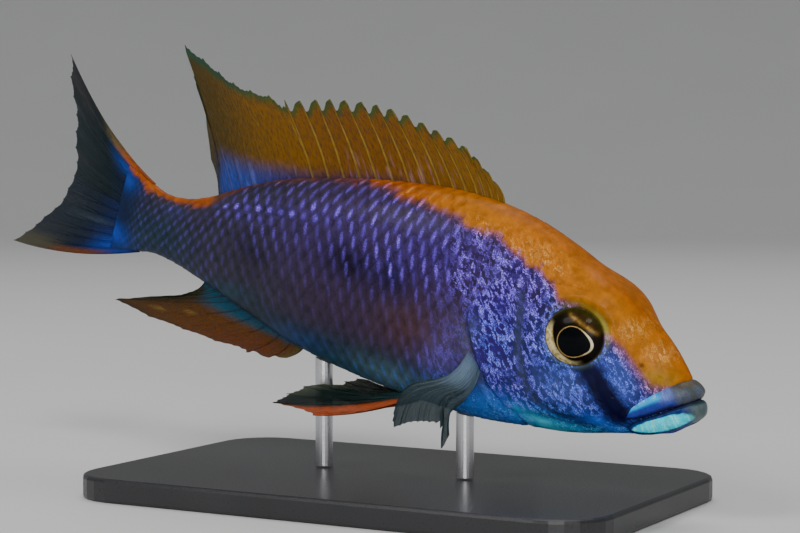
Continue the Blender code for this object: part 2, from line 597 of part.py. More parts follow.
def material(name, color, roughness, metallic=0.0):
    mat = bpy.data.materials.new(name)
    mat.use_nodes = True
    shader = mat.node_tree.nodes["Principled BSDF"]
    shader.inputs["Base Color"].default_value = (*color, 1.0)
    shader.inputs["Roughness"].default_value = roughness
    shader.inputs["Metallic"].default_value = metallic
    return mat


def paint(parts):
    """One material for each kind of piece, set on the nodes whose names start that way."""
    finishes = {
        "head": material("orange_head", (0.78, 0.33, 0.03), 0.40),
        "gill_cover": material("violet_gill_cover", (0.12, 0.11, 0.52), 0.30, 0.4),
        "upper_lip": material("blue_lip", (0.28, 0.50, 0.62), 0.35),
        "lower_lip": material("blue_lip_below", (0.28, 0.50, 0.62), 0.35),
        "eye": material("dark_eye", (0.02, 0.02, 0.03), 0.08),
        "torso": material("violet_flank", (0.16, 0.12, 0.34), 0.32, 0.3),
        "tail_stalk": material("violet_stalk", (0.16, 0.13, 0.30), 0.32, 0.3),
        "dorsal_fin": material("orange_fin", (0.62, 0.30, 0.04), 0.45),
        "anal_fin": material("orange_anal_fin", (0.62, 0.26, 0.02), 0.45),
        "caudal_fin": material("blue_tail_fin", (0.05, 0.12, 0.30), 0.45),
        "pectoral_fin": material("clear_fin", (0.42, 0.50, 0.52), 0.40),
        "pelvic_fin": material("green_fin", (0.10, 0.24, 0.20), 0.45),
        "stand_base": material("dark_base", (0.02, 0.02, 0.022), 0.25),
        "stand_rod": material("steel_rod", (0.62, 0.62, 0.64), 0.28, 1.0),
    }
    for obj in parts.objects:
        for start, finish in finishes.items():
            if obj.name.startswith(start):
                obj.data.materials.clear()
                obj.data.materials.append(finish)


def main():
    clear_scene()
    parts = bpy.data.collections.new("cichlid_on_stand")
    tools = bpy.data.collections.new("cutters")
    for collection in (parts, tools):
        bpy.context.scene.collection.children.link(collection)
    tools.hide_render = True
    build_torso(parts, tools)
    build_head(parts, tools)
    skin = build_fins(parts, tools)
    nose_down = Matrix.Rotation(math.radians(PITCH_DEG), 4, "Y")
    pose = Matrix.Translation((SNOUT_X, 0.0, SNOUT_Z)) @ nose_down
    for obj in list(parts.objects) + list(tools.objects):
        obj.data.transform(pose)
    bpy.context.view_layer.update()
    build_stand(parts, skin)
    paint(parts)
    for obj in tools.objects:
        obj.hide_render = True
        obj.display_type = "WIRE"
    for obj in parts.objects:
        if obj.type == "MESH" and not obj.name.startswith("stand_base"):
            obj.data.shade_smooth()
            obj.data.set_sharp_from_angle(angle=math.radians(40))


main()
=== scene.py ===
# %% [markdown]
# A male cichlid with an orange blaze, held life size on a small display stand.
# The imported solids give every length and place. This script keeps that frame still and dresses
# it: one skin over the body, scale plates over the skin, fine fins, eyes, lips and lights.
# Nothing is read from disk except the frame, and every random draw is seeded.

# %% Load the fixed frame
import math
from functools import partial

import bpy
import numpy as np
from mathutils import Matrix, Vector


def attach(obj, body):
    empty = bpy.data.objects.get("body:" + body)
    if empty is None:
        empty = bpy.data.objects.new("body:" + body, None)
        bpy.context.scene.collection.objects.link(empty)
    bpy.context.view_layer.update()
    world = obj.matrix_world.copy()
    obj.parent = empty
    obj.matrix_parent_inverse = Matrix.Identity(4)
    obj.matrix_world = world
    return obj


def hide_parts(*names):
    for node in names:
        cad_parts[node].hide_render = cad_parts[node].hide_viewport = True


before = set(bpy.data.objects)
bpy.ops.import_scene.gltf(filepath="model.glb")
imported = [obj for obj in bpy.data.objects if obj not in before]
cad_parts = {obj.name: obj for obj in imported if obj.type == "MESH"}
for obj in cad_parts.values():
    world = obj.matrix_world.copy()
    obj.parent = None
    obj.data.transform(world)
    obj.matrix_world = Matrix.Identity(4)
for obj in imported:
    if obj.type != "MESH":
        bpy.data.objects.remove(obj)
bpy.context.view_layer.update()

# %% [markdown]
# The fish is drawn in its own coordinates: a share of the standard length back from the snout,
# a share up, and a share sideways. They are the same values that shape the solids, so the skin
# can be worked out at any fineness and still lie where the solids lie.

# %% Lengths and outline of the fish
STANDARD_LENGTH = 0.115
PITCH_DEG = 13.0
TAIL_SIDE_BEND_DEG = -11.0
TAIL_RISE_DEG = 4.0
BEND_START = 0.35
SNOUT_X = 0.0761
SNOUT_Z = 0.0205
MM = 0.001 / STANDARD_LENGTH

BACK_STATIONS = [0.028, 0.036, 0.052, 0.076, 0.099, 0.138, 0.181, 0.236, 0.312,
                 0.403, 0.536, 0.639, 0.743, 0.820, 0.868, 0.920, 0.970, 1.000]
BACK_HEIGHTS = [0.005, 0.014, 0.031, 0.0535, 0.071, 0.101, 0.120, 0.144, 0.167,
                0.178, 0.166, 0.145, 0.115, 0.080, 0.054, 0.035, 0.031, 0.037]
BELLY_STATIONS = [0.028, 0.041, 0.059, 0.079, 0.116, 0.176, 0.237, 0.330, 0.413, 0.552,
                  0.645, 0.726, 0.804, 0.860, 0.920, 0.965, 1.000]
BELLY_HEIGHTS = [-0.056, -0.067, -0.074, -0.080, -0.090, -0.106, -0.117, -0.130, -0.131, -0.126,
                 -0.116, -0.100, -0.084, -0.074, -0.067, -0.068, -0.077]
SIDE_STATIONS = [0.028, 0.034, 0.042, 0.055, 0.076, 0.099, 0.118, 0.150, 0.184, 0.250,
                 0.330, 0.420, 0.520, 0.620, 0.720, 0.800, 0.860, 0.930, 1.000]
HALF_WIDTHS = [0.010, 0.016, 0.022, 0.029, 0.037, 0.045, 0.053, 0.062, 0.067, 0.074,
               0.080, 0.079, 0.073, 0.062, 0.047, 0.036, 0.028, 0.020, 0.013]
WIDEST_HEIGHTS = [-0.026, -0.026, -0.024, -0.022, -0.018, -0.014, -0.010, -0.006, -0.004, -0.006,
                  -0.004, 0.004, 0.010, 0.012, 0.008, 0.002, -0.006, -0.015, -0.019]
SECTION_POWER = 2.1
CROWN_STATIONS = [0.060, 0.100, 0.130, 0.160, 0.200, 0.250, 0.310]
CROWN_POWERS = [2.10, 2.25, 3.70, 4.30, 2.60, 2.20, 2.10]
GILL_MARGIN = [(0.300, 0.200), (0.303, 0.120), (0.318, 0.082), (0.336, 0.060), (0.346, 0.036),
               (0.346, 0.016), (0.338, -0.004), (0.327, -0.024), (0.312, -0.048),
               (0.294, -0.072), (0.272, -0.092), (0.250, -0.108), (0.236, -0.150)]
FLANK_END = 1.0
SKIN_END = 1.06


print("back", len(BACK_STATIONS), "belly", len(BELLY_STATIONS), "widths", len(SIDE_STATIONS))

# %% [markdown]
# The fish in the photograph noses down and swings its tail to one side. Its backbone is bent
# first, and the whole is pitched afterwards, in the way that shaped the solids.

# %% The bent backbone
def smooth(at, stations, values):
    """Cubic Hermite curve through the values, with slopes from their neighbours."""
    xs, ys = np.asarray(stations, float), np.asarray(values, float)
    slopes = np.gradient(ys, xs)
    at = np.clip(np.asarray(at, float), xs[0], xs[-1])
    i = np.clip(np.searchsorted(xs, at) - 1, 0, len(xs) - 2)
    step = xs[i + 1] - xs[i]
    s = (at - xs[i]) / step
    return ((2 * s**3 - 3 * s**2 + 1) * ys[i] + (s**3 - 2 * s**2 + s) * step * slopes[i]
            + (3 * s**2 - 2 * s**3) * ys[i + 1] + (s**3 - s**2) * step * slopes[i + 1])


def spine_frames(shares):
    """Place, left and up of the backbone: headings turn by a power of the share past the bend."""
    fine = np.linspace(0.0, 1.4, 1401)
    turn = np.clip((fine - BEND_START) / (1 - BEND_START), 0, None) ** 1.5
    side = np.radians(TAIL_SIDE_BEND_DEG) * turn
    rise = np.radians(TAIL_RISE_DEG) * turn
    heading = np.stack([np.cos(side) * np.cos(rise), np.sin(side) * np.cos(rise), -np.sin(rise)], 1)
    steps = (heading[1:] + heading[:-1]) / 2 * (fine[1] - fine[0])
    line = -np.concatenate([np.zeros((1, 3)), np.cumsum(steps, 0)]) * STANDARD_LENGTH
    shares = np.asarray(shares, float)
    place = np.stack([np.interp(shares, fine, line[:, k]) for k in range(3)], -1)
    ahead = np.stack([np.interp(shares, fine, heading[:, k]) for k in range(3)], -1)
    ahead /= np.linalg.norm(ahead, axis=-1, keepdims=True)
    up = np.array([0, 0, 1.0]) - ahead * ahead[..., 2:3]
    up /= np.linalg.norm(up, axis=-1, keepdims=True)
    return place, np.cross(up, ahead), up


def posed(points):
    """Turns fish points nose down by the pitch, then moves the snout to its place."""
    pitch = math.radians(PITCH_DEG)
    x, y, z = np.moveaxis(np.asarray(points, float), -1, 0)
    return np.stack([SNOUT_X + x * math.cos(pitch) + z * math.sin(pitch), y,
                     SNOUT_Z - x * math.sin(pitch) + z * math.cos(pitch)], -1)


def in_model(share, height, sideways=0.0):
    """Model points, in metres, of shares back, up and to the left."""
    share, height, sideways = np.broadcast_arrays(np.asarray(share, float), height, sideways)
    place, left, up = spine_frames(share)
    return posed(place + (left * sideways[..., None] + up * height[..., None]) * STANDARD_LENGTH)


print("snout", in_model(0.0, 0.0).round(4), "tail base", in_model(1.0, 0.0).round(4))

# %% [markdown]
# Skin, scales, eyes and fins all have to land on the same body. A table of the body's surface is
# worked out once: for each share back and for each fraction of the way round from the belly to
# the back, it holds the place and the outward normal. Everything else looks its place up there,
# which is quicker and safer than shrink-wrapping one mesh onto another.

# %% Table of the body's surface
TABLE_SHARES = np.linspace(0.028, SKIN_END, 640)
TABLE_ROUND = np.linspace(-1.0, 1.0, 241)


def body_section(share, angle):
    """Half a section: a superellipse, squarer over the crown and closing to a wedge at the tail."""
    upper = angle > 0
    power = np.where(upper, smooth(share, CROWN_STATIONS, CROWN_POWERS), SECTION_POWER)
    across = np.clip(np.cos(angle), 0, 1) ** (2 / power)
    rise = np.sign(angle) * np.abs(np.sin(angle)) ** (2 / power)
    widest = smooth(share, SIDE_STATIONS, WIDEST_HEIGHTS)
    top = smooth(share, BACK_STATIONS, BACK_HEIGHTS)
    foot = smooth(share, BELLY_STATIONS, BELLY_HEIGHTS)
    past = np.clip((share - FLANK_END) / (SKIN_END - FLANK_END), 0, 1)
    half = smooth(share, SIDE_STATIONS, HALF_WIDTHS) * (1 - 0.88 * past**0.8)
    top, foot = top + 0.010 * past, foot - 0.014 * past
    return half * across, widest + np.where(rise > 0, top - widest, widest - foot) * rise


def round_table():
    """Resamples each section so that the way round is even from the widest point to each edge."""
    angle = np.linspace(-np.pi / 2, np.pi / 2, 721)
    middle = len(angle) // 2
    sideways, height, arcs = [], [], []
    for share in TABLE_SHARES:
        across, rise = body_section(share, angle)
        run = np.concatenate([[0], np.cumsum(np.hypot(np.diff(across), np.diff(rise)))])
        run -= run[middle]
        way = np.where(run < 0, -run / run[0], run / run[-1])
        sideways.append(np.interp(TABLE_ROUND, way, across))
        height.append(np.interp(TABLE_ROUND, way, rise))
        arcs.append((-run[0], run[-1]))
    return np.array(sideways), np.array(height), np.array(arcs)


SIDEWAYS, HEIGHTS, ARCS = round_table()


def lookup(table, share, way):
    """Bilinear value of a table at shares back and ways round."""
    i = np.interp(share, TABLE_SHARES, np.arange(len(TABLE_SHARES)))
    j = np.interp(way, TABLE_ROUND, np.arange(len(TABLE_ROUND)))
    i0 = np.minimum(i.astype(int), len(TABLE_SHARES) - 2)
    j0 = np.minimum(j.astype(int), len(TABLE_ROUND) - 2)
    a, b = i - i0, j - j0
    if table.ndim == 3:
        a, b = a[..., None], b[..., None]
    return ((table[i0, j0] * (1 - a) + table[i0 + 1, j0] * a) * (1 - b)
            + (table[i0, j0 + 1] * (1 - a) + table[i0 + 1, j0 + 1] * a) * b)


def surface_tables():
    """Posed places and outward normals of both sides; a normal is the cross of two differences."""
    tables = {}
    for side in (-1, 1):
        place = in_model(TABLE_SHARES[:, None], HEIGHTS, side * SIDEWAYS)
        normal = np.cross(np.gradient(place, axis=1), np.gradient(place, axis=0)) * -side
        size = np.linalg.norm(normal, axis=2, keepdims=True)
        tables[side] = place, normal / np.maximum(size, 1e-12)
    for k in (0, -1):
        even = tables[-1][1][:, k] + tables[1][1][:, k]
        even /= np.linalg.norm(even, axis=1, keepdims=True)
        tables[-1][1][:, k] = tables[1][1][:, k] = even
    return tables


SURFACE = surface_tables()


def on_body(share, way, side):
    """Place, normal and height share, where a way past the midline goes on down the far side."""
    share, way, side = np.broadcast_arrays(share, way, side)
    over = np.abs(way) > 1
    side = np.where(over, -side, side)
    way = np.where(over, np.sign(way) * 2 - way, way)
    left = side[..., None] > 0
    place, normal = (np.where(left, lookup(SURFACE[1][k], share, way), lookup(SURFACE[-1][k], share, way))
                     for k in (0, 1))
    return place, normal, lookup(HEIGHTS, share, way)


def way_of_height(share, height):
    """The way round at which the nearest section has a height share, linear between its points."""
    share, height = np.broadcast_arrays(np.atleast_1d(share).astype(float), height)
    row = np.interp(share, TABLE_SHARES, np.arange(len(TABLE_SHARES))).round().astype(int)
    k = np.clip((HEIGHTS[row] < height[..., None]).sum(-1), 1, len(TABLE_ROUND) - 1)
    low, high = HEIGHTS[row, k - 1], HEIGHTS[row, k]
    part = np.clip((height - low) / (high - low), 0, 1)
    return TABLE_ROUND[k - 1] + part * (TABLE_ROUND[k] - TABLE_ROUND[k - 1])


print("table", SIDEWAYS.shape, "deepest section", round(float(np.ptp(HEIGHTS, axis=1).max()), 3))

# %% [markdown]
# Nothing on a living thing is quite even. Fades and bells blend one value into the next,
# and a small noise, the same in each run, breaks up what would look drawn with a ruler.

# %% Fades, bells and noise
def fade(x, low, high):
    """0 up to low, 1 from high on, and 3s^2 - 2s^3 between; it falls if high is below low."""
    s = np.clip((np.asarray(x, float) - low) / (high - low), 0, 1)
    return s * s * (3 - 2 * s)


def bell(x, width):
    """exp(-(x / width)^2)."""
    return np.exp(-(np.asarray(x, float) / width) ** 2)


def grain(points, size, seed):
    """Smooth noise from 0 to 1: hashed corner values of a lattice, blended inside each cell."""
    p = np.asarray(points, float) / size
    cell = np.floor(p).astype(np.int64)
    part = p - cell
    part = part * part * (3 - 2 * part)
    total = np.zeros(p.shape[:-1])
    for corner in np.ndindex(*(2,) * p.shape[-1]):
        at = cell + corner
        mixed = seed * 2654435761 + sum(at[..., k] * prime for k, prime in
                                        zip(range(p.shape[-1]), (374761393, 668265263, 2147483647)))
        mixed = (mixed ^ (mixed >> 13)) * 1274126177 & 0xFFFFFFFF
        value = ((mixed ^ (mixed >> 16)) & 0xFFFF) / 65535
        weight = np.prod(np.where(corner, part, 1 - part), axis=-1)
        total += value * weight
    return total


print("noise check", round(float(grain(np.array([[0.1, 0.2, 0.3]]), 0.05, 1)[0]), 4))

# %% [markdown]
# A mesh needs its points, its faces and a few values a material can read later. Helpers do that
# for every piece: they stitch a grid of points into faces, write whole arrays straight into the
# mesh, which is far quicker than adding faces one at a time, and tie the piece to the model.

# %% Helpers for meshes
def grid_faces(rows, columns, closed_round=False, start=0):
    """Quads of a grid of points stored row by row; closed_round joins last column to first."""
    i, j = np.meshgrid(np.arange(rows - 1), np.arange(columns - (not closed_round)), indexing="ij")
    k = (j + 1) % columns
    quads = [i * columns + j, i * columns + k, (i + 1) * columns + k, (i + 1) * columns + j]
    return start + np.stack(quads, -1).reshape(-1, 4)


def end_fans(rows, columns, poles, start=0):
    """Triangles that close the first and the last ring of a grid with its two pole points."""
    ring = np.arange(columns)
    after = (ring + 1) % columns
    last = start + (rows - 1) * columns
    return np.concatenate([np.stack([start + after, start + ring, 0 * ring + poles[0]], 1),
                           np.stack([last + ring, last + after, 0 * ring + poles[1]], 1)])


def volume(points, faces):
    """Signed volume of a closed mesh: a sixth of the sum of p0 . (p1 x p2) over its triangles."""
    a, b, c = (points[faces[:, k]] for k in range(3))
    total = (a * np.cross(b, c)).sum()
    if faces.shape[1] == 4:
        total += (a * np.cross(c, points[faces[:, 3]])).sum()
    return total / 6


def new_piece(name, points, quads, tris=None, sharp_deg=None):
    """A closed mesh at the origin from arrays; its faces are turned if its volume is negative."""
    points = np.asarray(points, np.float64).reshape(-1, 3)
    loops = [np.asarray(quads, np.int32).reshape(-1, 4)]
    if tris is not None and len(tris):
        loops.append(np.asarray(tris, np.int32).reshape(-1, 3))
    if sum(volume(points, faces) for faces in loops) < 0:
        loops = [faces[:, ::-1] for faces in loops]
    points = points.astype(np.float32)
    sizes = np.concatenate([np.full(len(f), f.shape[1], np.int32) for f in loops])
    flat = np.concatenate([f.ravel() for f in loops])
    mesh = bpy.data.meshes.new(name)
    mesh.vertices.add(len(points))
    mesh.vertices.foreach_set("co", points.ravel())
    mesh.loops.add(len(flat))
    mesh.loops.foreach_set("vertex_index", flat)
    mesh.polygons.add(len(sizes))
    starts = np.concatenate([[0], np.cumsum(sizes)[:-1]])
    mesh.polygons.foreach_set("loop_start", starts.astype(np.int32))
    mesh.update(calc_edges=True)
    mesh.validate()
    mesh.shade_smooth()
    if sharp_deg:
        mesh.set_sharp_from_angle(angle=math.radians(sharp_deg))
    obj = bpy.data.objects.new(name, mesh)
    bpy.context.scene.collection.objects.link(obj)
    print(f"{name}: {int((sizes - 2).sum())} triangles")
    return obj


def store(obj, name, values):
    """Keeps one value, vector or colour for each point of a mesh, for a material to read."""
    values = np.asarray(values, np.float32)
    wide = values.shape[-1] if values.ndim > 1 else 1
    kind, key = {1: ("FLOAT", "value"), 3: ("FLOAT_VECTOR", "vector")}[wide]
    attribute = obj.data.attributes.new(name, kind, "POINT")
    attribute.data.foreach_set(key, values.ravel())


def store_uv(obj, uv, name="OFBake", seam=0.0):
    """A UV map from one (u, v) for each point; a face over the seam has its low v raised by it."""
    layer = obj.data.uv_layers.new(name=name)
    index = np.zeros(len(obj.data.loops), np.int32)
    obj.data.loops.foreach_get("vertex_index", index)
    corner = np.asarray(uv, np.float32).reshape(-1, 2)[index]
    if seam:
        start = np.zeros(len(obj.data.polygons), np.int32)
        obj.data.polygons.foreach_get("loop_start", start)
        owner = np.repeat(np.arange(len(start)), np.diff(np.append(start, len(index))))
        high, low = (way.reduceat(corner[:, 1], start)[owner] for way in (np.maximum, np.minimum))
        corner[(high - low > 0.5) & (corner[:, 1] < 0.5), 1] += seam
    layer.data.foreach_set("uv", corner.ravel())


def belongs(obj, slot, *nodes):
    """Ties a piece to the model's one body and hides the solids it replaces; the slot is not used."""
    for node in nodes:
        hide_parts(node)
    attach(obj, "root")
    return obj


def ink(red, green, blue):
    """A screen colour from 0 to 255 as linear light: ((c + 0.055) / 1.055)^2.4."""
    c = np.array([red, green, blue]) / 255
    return np.where(c <= 0.04045, c / 12.92, ((c + 0.055) / 1.055) ** 2.4)


print("middle grey as light", ink(128, 128, 128).round(3))

# %% [markdown]
# A fish's head isn't smooth. The gill cover ends in a free edge with a groove behind it, the
# cheek is bordered by the bent edge of the bone in front of the gill cover, the eye sits in a
# shallow bowl with a thin rim, and there are a nostril and a few pores. All of these are one
# height field over the side view, which the skin and the scales share, so they agree everywhere.

# %% Lines of the head
COAT_DEPTH = 0.00016
EYE_AT = (0.1875, 0.0335)
ORBIT_RADII = (0.00485, 0.00470)
ORBIT_STRETCH = 1.03
NOSTRIL_AT = (0.094, 0.016)
NOSTRIL_RADIUS = 0.00042
PORES = [(0.068, 0.006), (0.120, -0.034), (0.137, -0.046), (0.158, -0.050), (0.110, -0.020),
         (0.176, 0.088), (0.150, 0.074)]
CHEEK_EDGE = [(0.276, 0.070), (0.271, 0.048), (0.264, 0.010), (0.253, -0.025), (0.238, -0.054),
              (0.216, -0.074), (0.185, -0.080), (0.150, -0.077)]
LACRIMAL_EDGE = [(0.150, -0.012), (0.138, -0.036), (0.122, -0.055), (0.106, -0.066)]
LIP_CREASE = [(0.030, 0.012), (0.045, 0.000), (0.060, -0.015), (0.080, -0.033), (0.100, -0.048),
              (0.106, -0.062)]
MOUTH_FOLD = [(0.100, -0.045), (0.112, -0.062), (0.108, -0.078)]
JAW_EDGE = [(0.262, -0.098), (0.225, -0.094), (0.180, -0.092), (0.135, -0.086), (0.105, -0.078)]


def side_line(points, count=60):
    """Even points along a smooth curve through side-view points."""
    points = np.array(points, float)
    run = np.concatenate([[0], np.cumsum(np.linalg.norm(np.diff(points, axis=0), axis=1))])
    at = np.linspace(0, run[-1], count)
    return np.stack([smooth(at, run, points[:, 0]), smooth(at, run, points[:, 1])], 1)


def line_distance(share, height, points, count=60):
    """Signed distance, in shares, to a side-view line: positive on its front or upper side."""
    line = side_line(points, count)
    flat = np.stack([np.ravel(share), np.ravel(height)], 1)
    best, sign = np.full(len(flat), 9.0), np.zeros(len(flat))
    for a, b in zip(line[:-1], line[1:]):
        step = b - a
        along = np.clip((flat - a) @ step / (step @ step), 0, 1)
        gap = flat - a - along[:, None] * step
        size = np.hypot(gap[:, 0], gap[:, 1])
        turn = step[0] * gap[:, 1] - step[1] * gap[:, 0]
        near = size < best
        best, sign = np.where(near, size, best), np.where(near, turn, sign)
    return (best * np.where(sign < 0, 1, -1)).reshape(np.shape(share))


def eye_polar(share, height):
    """Distance from the eye's middle in orbit radii, and the angle from ahead, turning up."""
    ahead = (EYE_AT[0] - share) * STANDARD_LENGTH
    above = (height - EYE_AT[1]) * STANDARD_LENGTH * ORBIT_STRETCH
    return np.hypot(ahead / ORBIT_RADII[0], above / ORBIT_RADII[1]), np.arctan2(above, ahead)


print("orbit in mm", [round(r * 2000, 2) for r in ORBIT_RADII], "pores", len(PORES))

# %% [markdown]
# Each form is a bell or a fade over a distance: to a line for an edge or a crease, to a
# point for a pore, and to the orbit for the eye's bowl and rim. Added up, they are one height
# field, and no form needs a mesh of its own.

# %% Relief of the head
def head_line(share, height, points, count=60, away=1.0):
    """Distance in millimetres to a line of the head, and a plain value where there is no head."""
    near_head = share < 0.40
    distance = np.full(share.shape, away)
    if near_head.any():
        distance[near_head] = line_distance(share[near_head], height[near_head], points, count)
    return distance / MM


def relief(share, height):
    """Metres out from the solid's surface, summed from the edges, grooves, bowls and pits."""
    share, height = np.broadcast_arrays(np.asarray(share, float), height)
    gill = head_line(share, height, GILL_MARGIN, away=-1.0)
    cheek = head_line(share, height, CHEEK_EDGE, 40)
    jaw, bone, crease = (head_line(share, height, line, 30)
                         for line in (JAW_EDGE, LACRIMAL_EDGE, LIP_CREASE))
    fold = head_line(share, height, MOUTH_FOLD, 20)
    open_gill = fade(height, 0.098, 0.072) * fade(height, -0.135, -0.105)
    out = open_gill * (fade(gill, -0.05, 0.45) * bell(np.maximum(gill, 0), 9.0) * 0.00034
                       - bell(gill + 0.35, 0.55) * 0.00048
                       - bell(gill - 1.5, 0.7) * 0.00007)
    for line, offset, width, rise in (
            (cheek, 0, 0.60, -0.00014), (cheek, 1.5, 1.1, 0.00010), (cheek, -1.6, 0.5, -0.00006),
            (jaw, 0, 0.55, -0.00026), (bone, 0, 0.45, -0.00010), (crease, 0, 0.28, -0.00016),
            (fold, 0, 0.35, -0.00014)):
        out += bell(line - offset, width) * rise * (share < 0.40)
    reach, angle = eye_polar(share, height)
    bowl = np.clip(1 - reach**2, 0, 1)
    out += np.where(reach < 1, -0.00035 * fade(reach, 1.0, 0.93) - 0.0022 * bowl, 0)
    out += bell((reach - 1.06) / 0.055, 1) * 0.00020
    out -= bell((reach - 1.24) / 0.07, 1) * 0.00007
    out += bell((reach - 1.32) / 0.24, 1) * fade(np.sin(angle), 0.15, 0.85) * 0.00045
    nostril = np.hypot(share - NOSTRIL_AT[0], height - NOSTRIL_AT[1]) * STANDARD_LENGTH
    out += bell((nostril - 1.25 * NOSTRIL_RADIUS) / (0.45 * NOSTRIL_RADIUS), 1) * 0.00014
    out -= bell(nostril / (0.7 * NOSTRIL_RADIUS), 1) * 0.00030
    for share_at, height_at in PORES:
        pore = np.hypot(share - share_at, height - height_at) * STANDARD_LENGTH
        out -= bell(pore, 0.00020) * 0.00022
        out += bell(pore - 0.00034, 0.00014) * 0.00004
    return out


def bare(share, height):
    """1 on the skin that has no scales, the snout and the bones round the eye, fading to 0."""
    return fade(share + 0.25 * np.clip(height - 0.06, 0, 1), 0.225, 0.185)


def coat_depth(share, height):
    """How far the skin lies inside the solids, in metres: the coat's depth, or a quarter if bare."""
    return COAT_DEPTH * (1 - 0.75 * bare(share, height))


print("relief at the gill edge in mm", (relief(np.array([0.330, 0.352]), 0.02) * 1000).round(3))

# %% [markdown]
# The skin is one closed grid from the lips to the tail fin. Its rows crowd together on the head,
# where the relief is, and open out under the scales. It lies inside the solids by the depth of
# the coat, and a fan of triangles closes each end, so that no hole is left behind the lips.

# %% Skin
SKIN_SHARES = np.concatenate([np.arange(0.028, 0.36, 0.0020), np.arange(0.36, SKIN_END, 0.0056),
                              [SKIN_END]])
SKIN_SIDE_POINTS = 171
SKIN_END_HEIGHT = -0.02
SNOUT_CAP = (0.0004, 0, 0)


def skin_grid():
    """Rows of points once round the body: up the right side and down the left."""
    way = np.linspace(-1, 1, SKIN_SIDE_POINTS)
    way = np.concatenate([way, way[::-1][1:-1]])
    side = np.concatenate([-np.ones(SKIN_SIDE_POINTS), np.ones(SKIN_SIDE_POINTS - 2)])
    share, way = np.meshgrid(SKIN_SHARES, way, indexing="ij")
    side = np.broadcast_to(side, share.shape)
    place, normal, height = on_body(share, way, side)
    ripple = (grain(place, 0.0011, 3) - 0.5) * 0.00005 * bare(share, height)
    sunk = coat_depth(share, height) * fade(share, SKIN_END - 0.002, FLANK_END)
    place = place + normal * (relief(share, height) - sunk + ripple)[..., None]
    return share, way, side, height, place


def build_skin():
    """The closed skin, with its marks and its unwrap."""
    share, way, side, height, place = skin_grid()
    rows, columns = share.shape
    ends = np.stack([place[0].mean(0) + posed(SNOUT_CAP) - posed((0, 0, 0)), place[-1].mean(0)])
    points = np.concatenate([place.reshape(-1, 3), ends])
    quads = grid_faces(rows, columns, closed_round=True)
    caps = end_fans(rows, columns, (len(points) - 2, len(points) - 1))
    obj = new_piece("fish_skin", points, quads, caps)
    shares = np.append(share, [SKIN_SHARES[0], SKIN_END])
    store_marks(obj, shares, np.append(height, [SKIN_END_HEIGHT] * 2), 0.0)
    uv = unwrap(share, way, side)
    store_uv(obj, np.concatenate([uv.reshape(-1, 2), uv[0, :1], uv[-1, :1]]), seam=0.98)
    return obj


def unwrap(share, way, side):
    """The skin laid flat: share back along u, and once round the body along v from the belly."""
    round_way = np.where(side > 0, (3 - way) / 4, (way + 1) / 4)
    return np.stack([0.02 + 0.96 * share / SKIN_END, 0.01 + 0.98 * round_way], -1)

# %% [markdown]
# The markings are soft patches laid over one another, as an airbrush lays them on a cast. Each
# layer has a place, a spread and an ink, and skin and scales call the same function, so that a
# patch runs on across them. A second set of values says how strongly the skin glints and
# whether the glint is violet, blue or turquoise.

# %% Places and inks of the markings
BLAZE_FOOT = [(0.020, -0.020), (0.050, -0.006), (0.075, -0.008), (0.090, 0.004), (0.105, 0.018),
              (0.120, 0.033), (0.137, 0.043), (0.152, 0.050), (0.190, 0.074), (0.222, 0.076),
              (0.236, 0.092), (0.262, 0.109), (0.282, 0.112), (0.300, 0.120), (0.330, 0.133),
              (0.400, 0.142), (0.450, 0.147), (0.500, 0.152), (0.560, 0.1555), (0.600, 0.1510),
              (0.650, 0.1405), (0.700, 0.1260), (0.750, 0.1100), (0.800, 0.088), (0.825, 0.070),
              (0.850, 0.045), (0.900, 0.030), (0.950, 0.0235), (1.000, 0.025), (1.060, 0.044)]
UPPER_LINE = [(0.340, 0.118), (0.450, 0.112), (0.570, 0.102), (0.660, 0.088), (0.700, 0.075),
              (0.770, 0.060), (0.820, 0.050)]
BODY_PATCHES = [
    # name, share back, share up, spread back, spread up, tilt, ink, strength
    ("shoulder violet", 0.40, 0.095, 0.12, 0.050, 10, (48, 32, 86), 0.80),
    ("upper flank violet", 0.58, 0.070, 0.14, 0.050, 15, (58, 46, 84), 0.60),
    ("behind the gill", 0.380, -0.045, 0.038, 0.055, 0, (84, 76, 124), 0.65),
    ("warm side patch", 0.430, -0.018, 0.055, 0.036, 10, (70, 46, 48), 0.85),
    ("side blotch front", 0.475, 0.042, 0.026, 0.024, 0, (20, 16, 54), 0.75),
    ("side blotch middle", 0.550, 0.042, 0.050, 0.026, 0, (14, 10, 22), 0.90),
    ("side blotch rear", 0.735, 0.005, 0.030, 0.022, 0, (24, 24, 34), 0.60),
    ("tail stalk blue", 0.922, 0.014, 0.024, 0.014, 0, (46, 56, 92), 0.40),
    ("tail base blue", 1.060, -0.066, 0.044, 0.018, 0, (24, 66, 166), 0.85),
    ("tail base spot", 1.062, 0.024, 0.034, 0.016, 0, (28, 70, 164), 0.80),
    # Belly patches: partly the belly's own turquoise, blue and teal, partly a painted reflection.
    ("belly turquoise and painted reflection", 0.450, -0.110, 0.080, 0.028, 0, (88, 120, 130), 0.80),
    ("belly blue and painted reflection", 0.650, -0.105, 0.070, 0.020, 10, (34, 66, 120), 0.75),
    ("belly rear teal and painted reflection", 0.800, -0.078, 0.080, 0.016, 15, (24, 66, 80), 0.60),
    ("breast blue", 0.305, -0.108, 0.060, 0.034, 0, (44, 120, 224), 0.92),
    ("throat turquoise", 0.216, -0.103, 0.033, 0.011, -14, (84, 224, 255), 0.97),
    ("throat spot", 0.254, -0.094, 0.010, 0.012, 0, (60, 184, 240), 0.85),
    ("jaw turquoise", 0.178, -0.096, 0.028, 0.006, -10, (50, 156, 228), 0.85),
    ("chin blue", 0.135, -0.077, 0.030, 0.010, -15, (30, 104, 226), 0.92),
]
CHEEK_BAR = [(0.158, -0.004), (0.146, -0.018), (0.130, -0.036), (0.112, -0.056)]
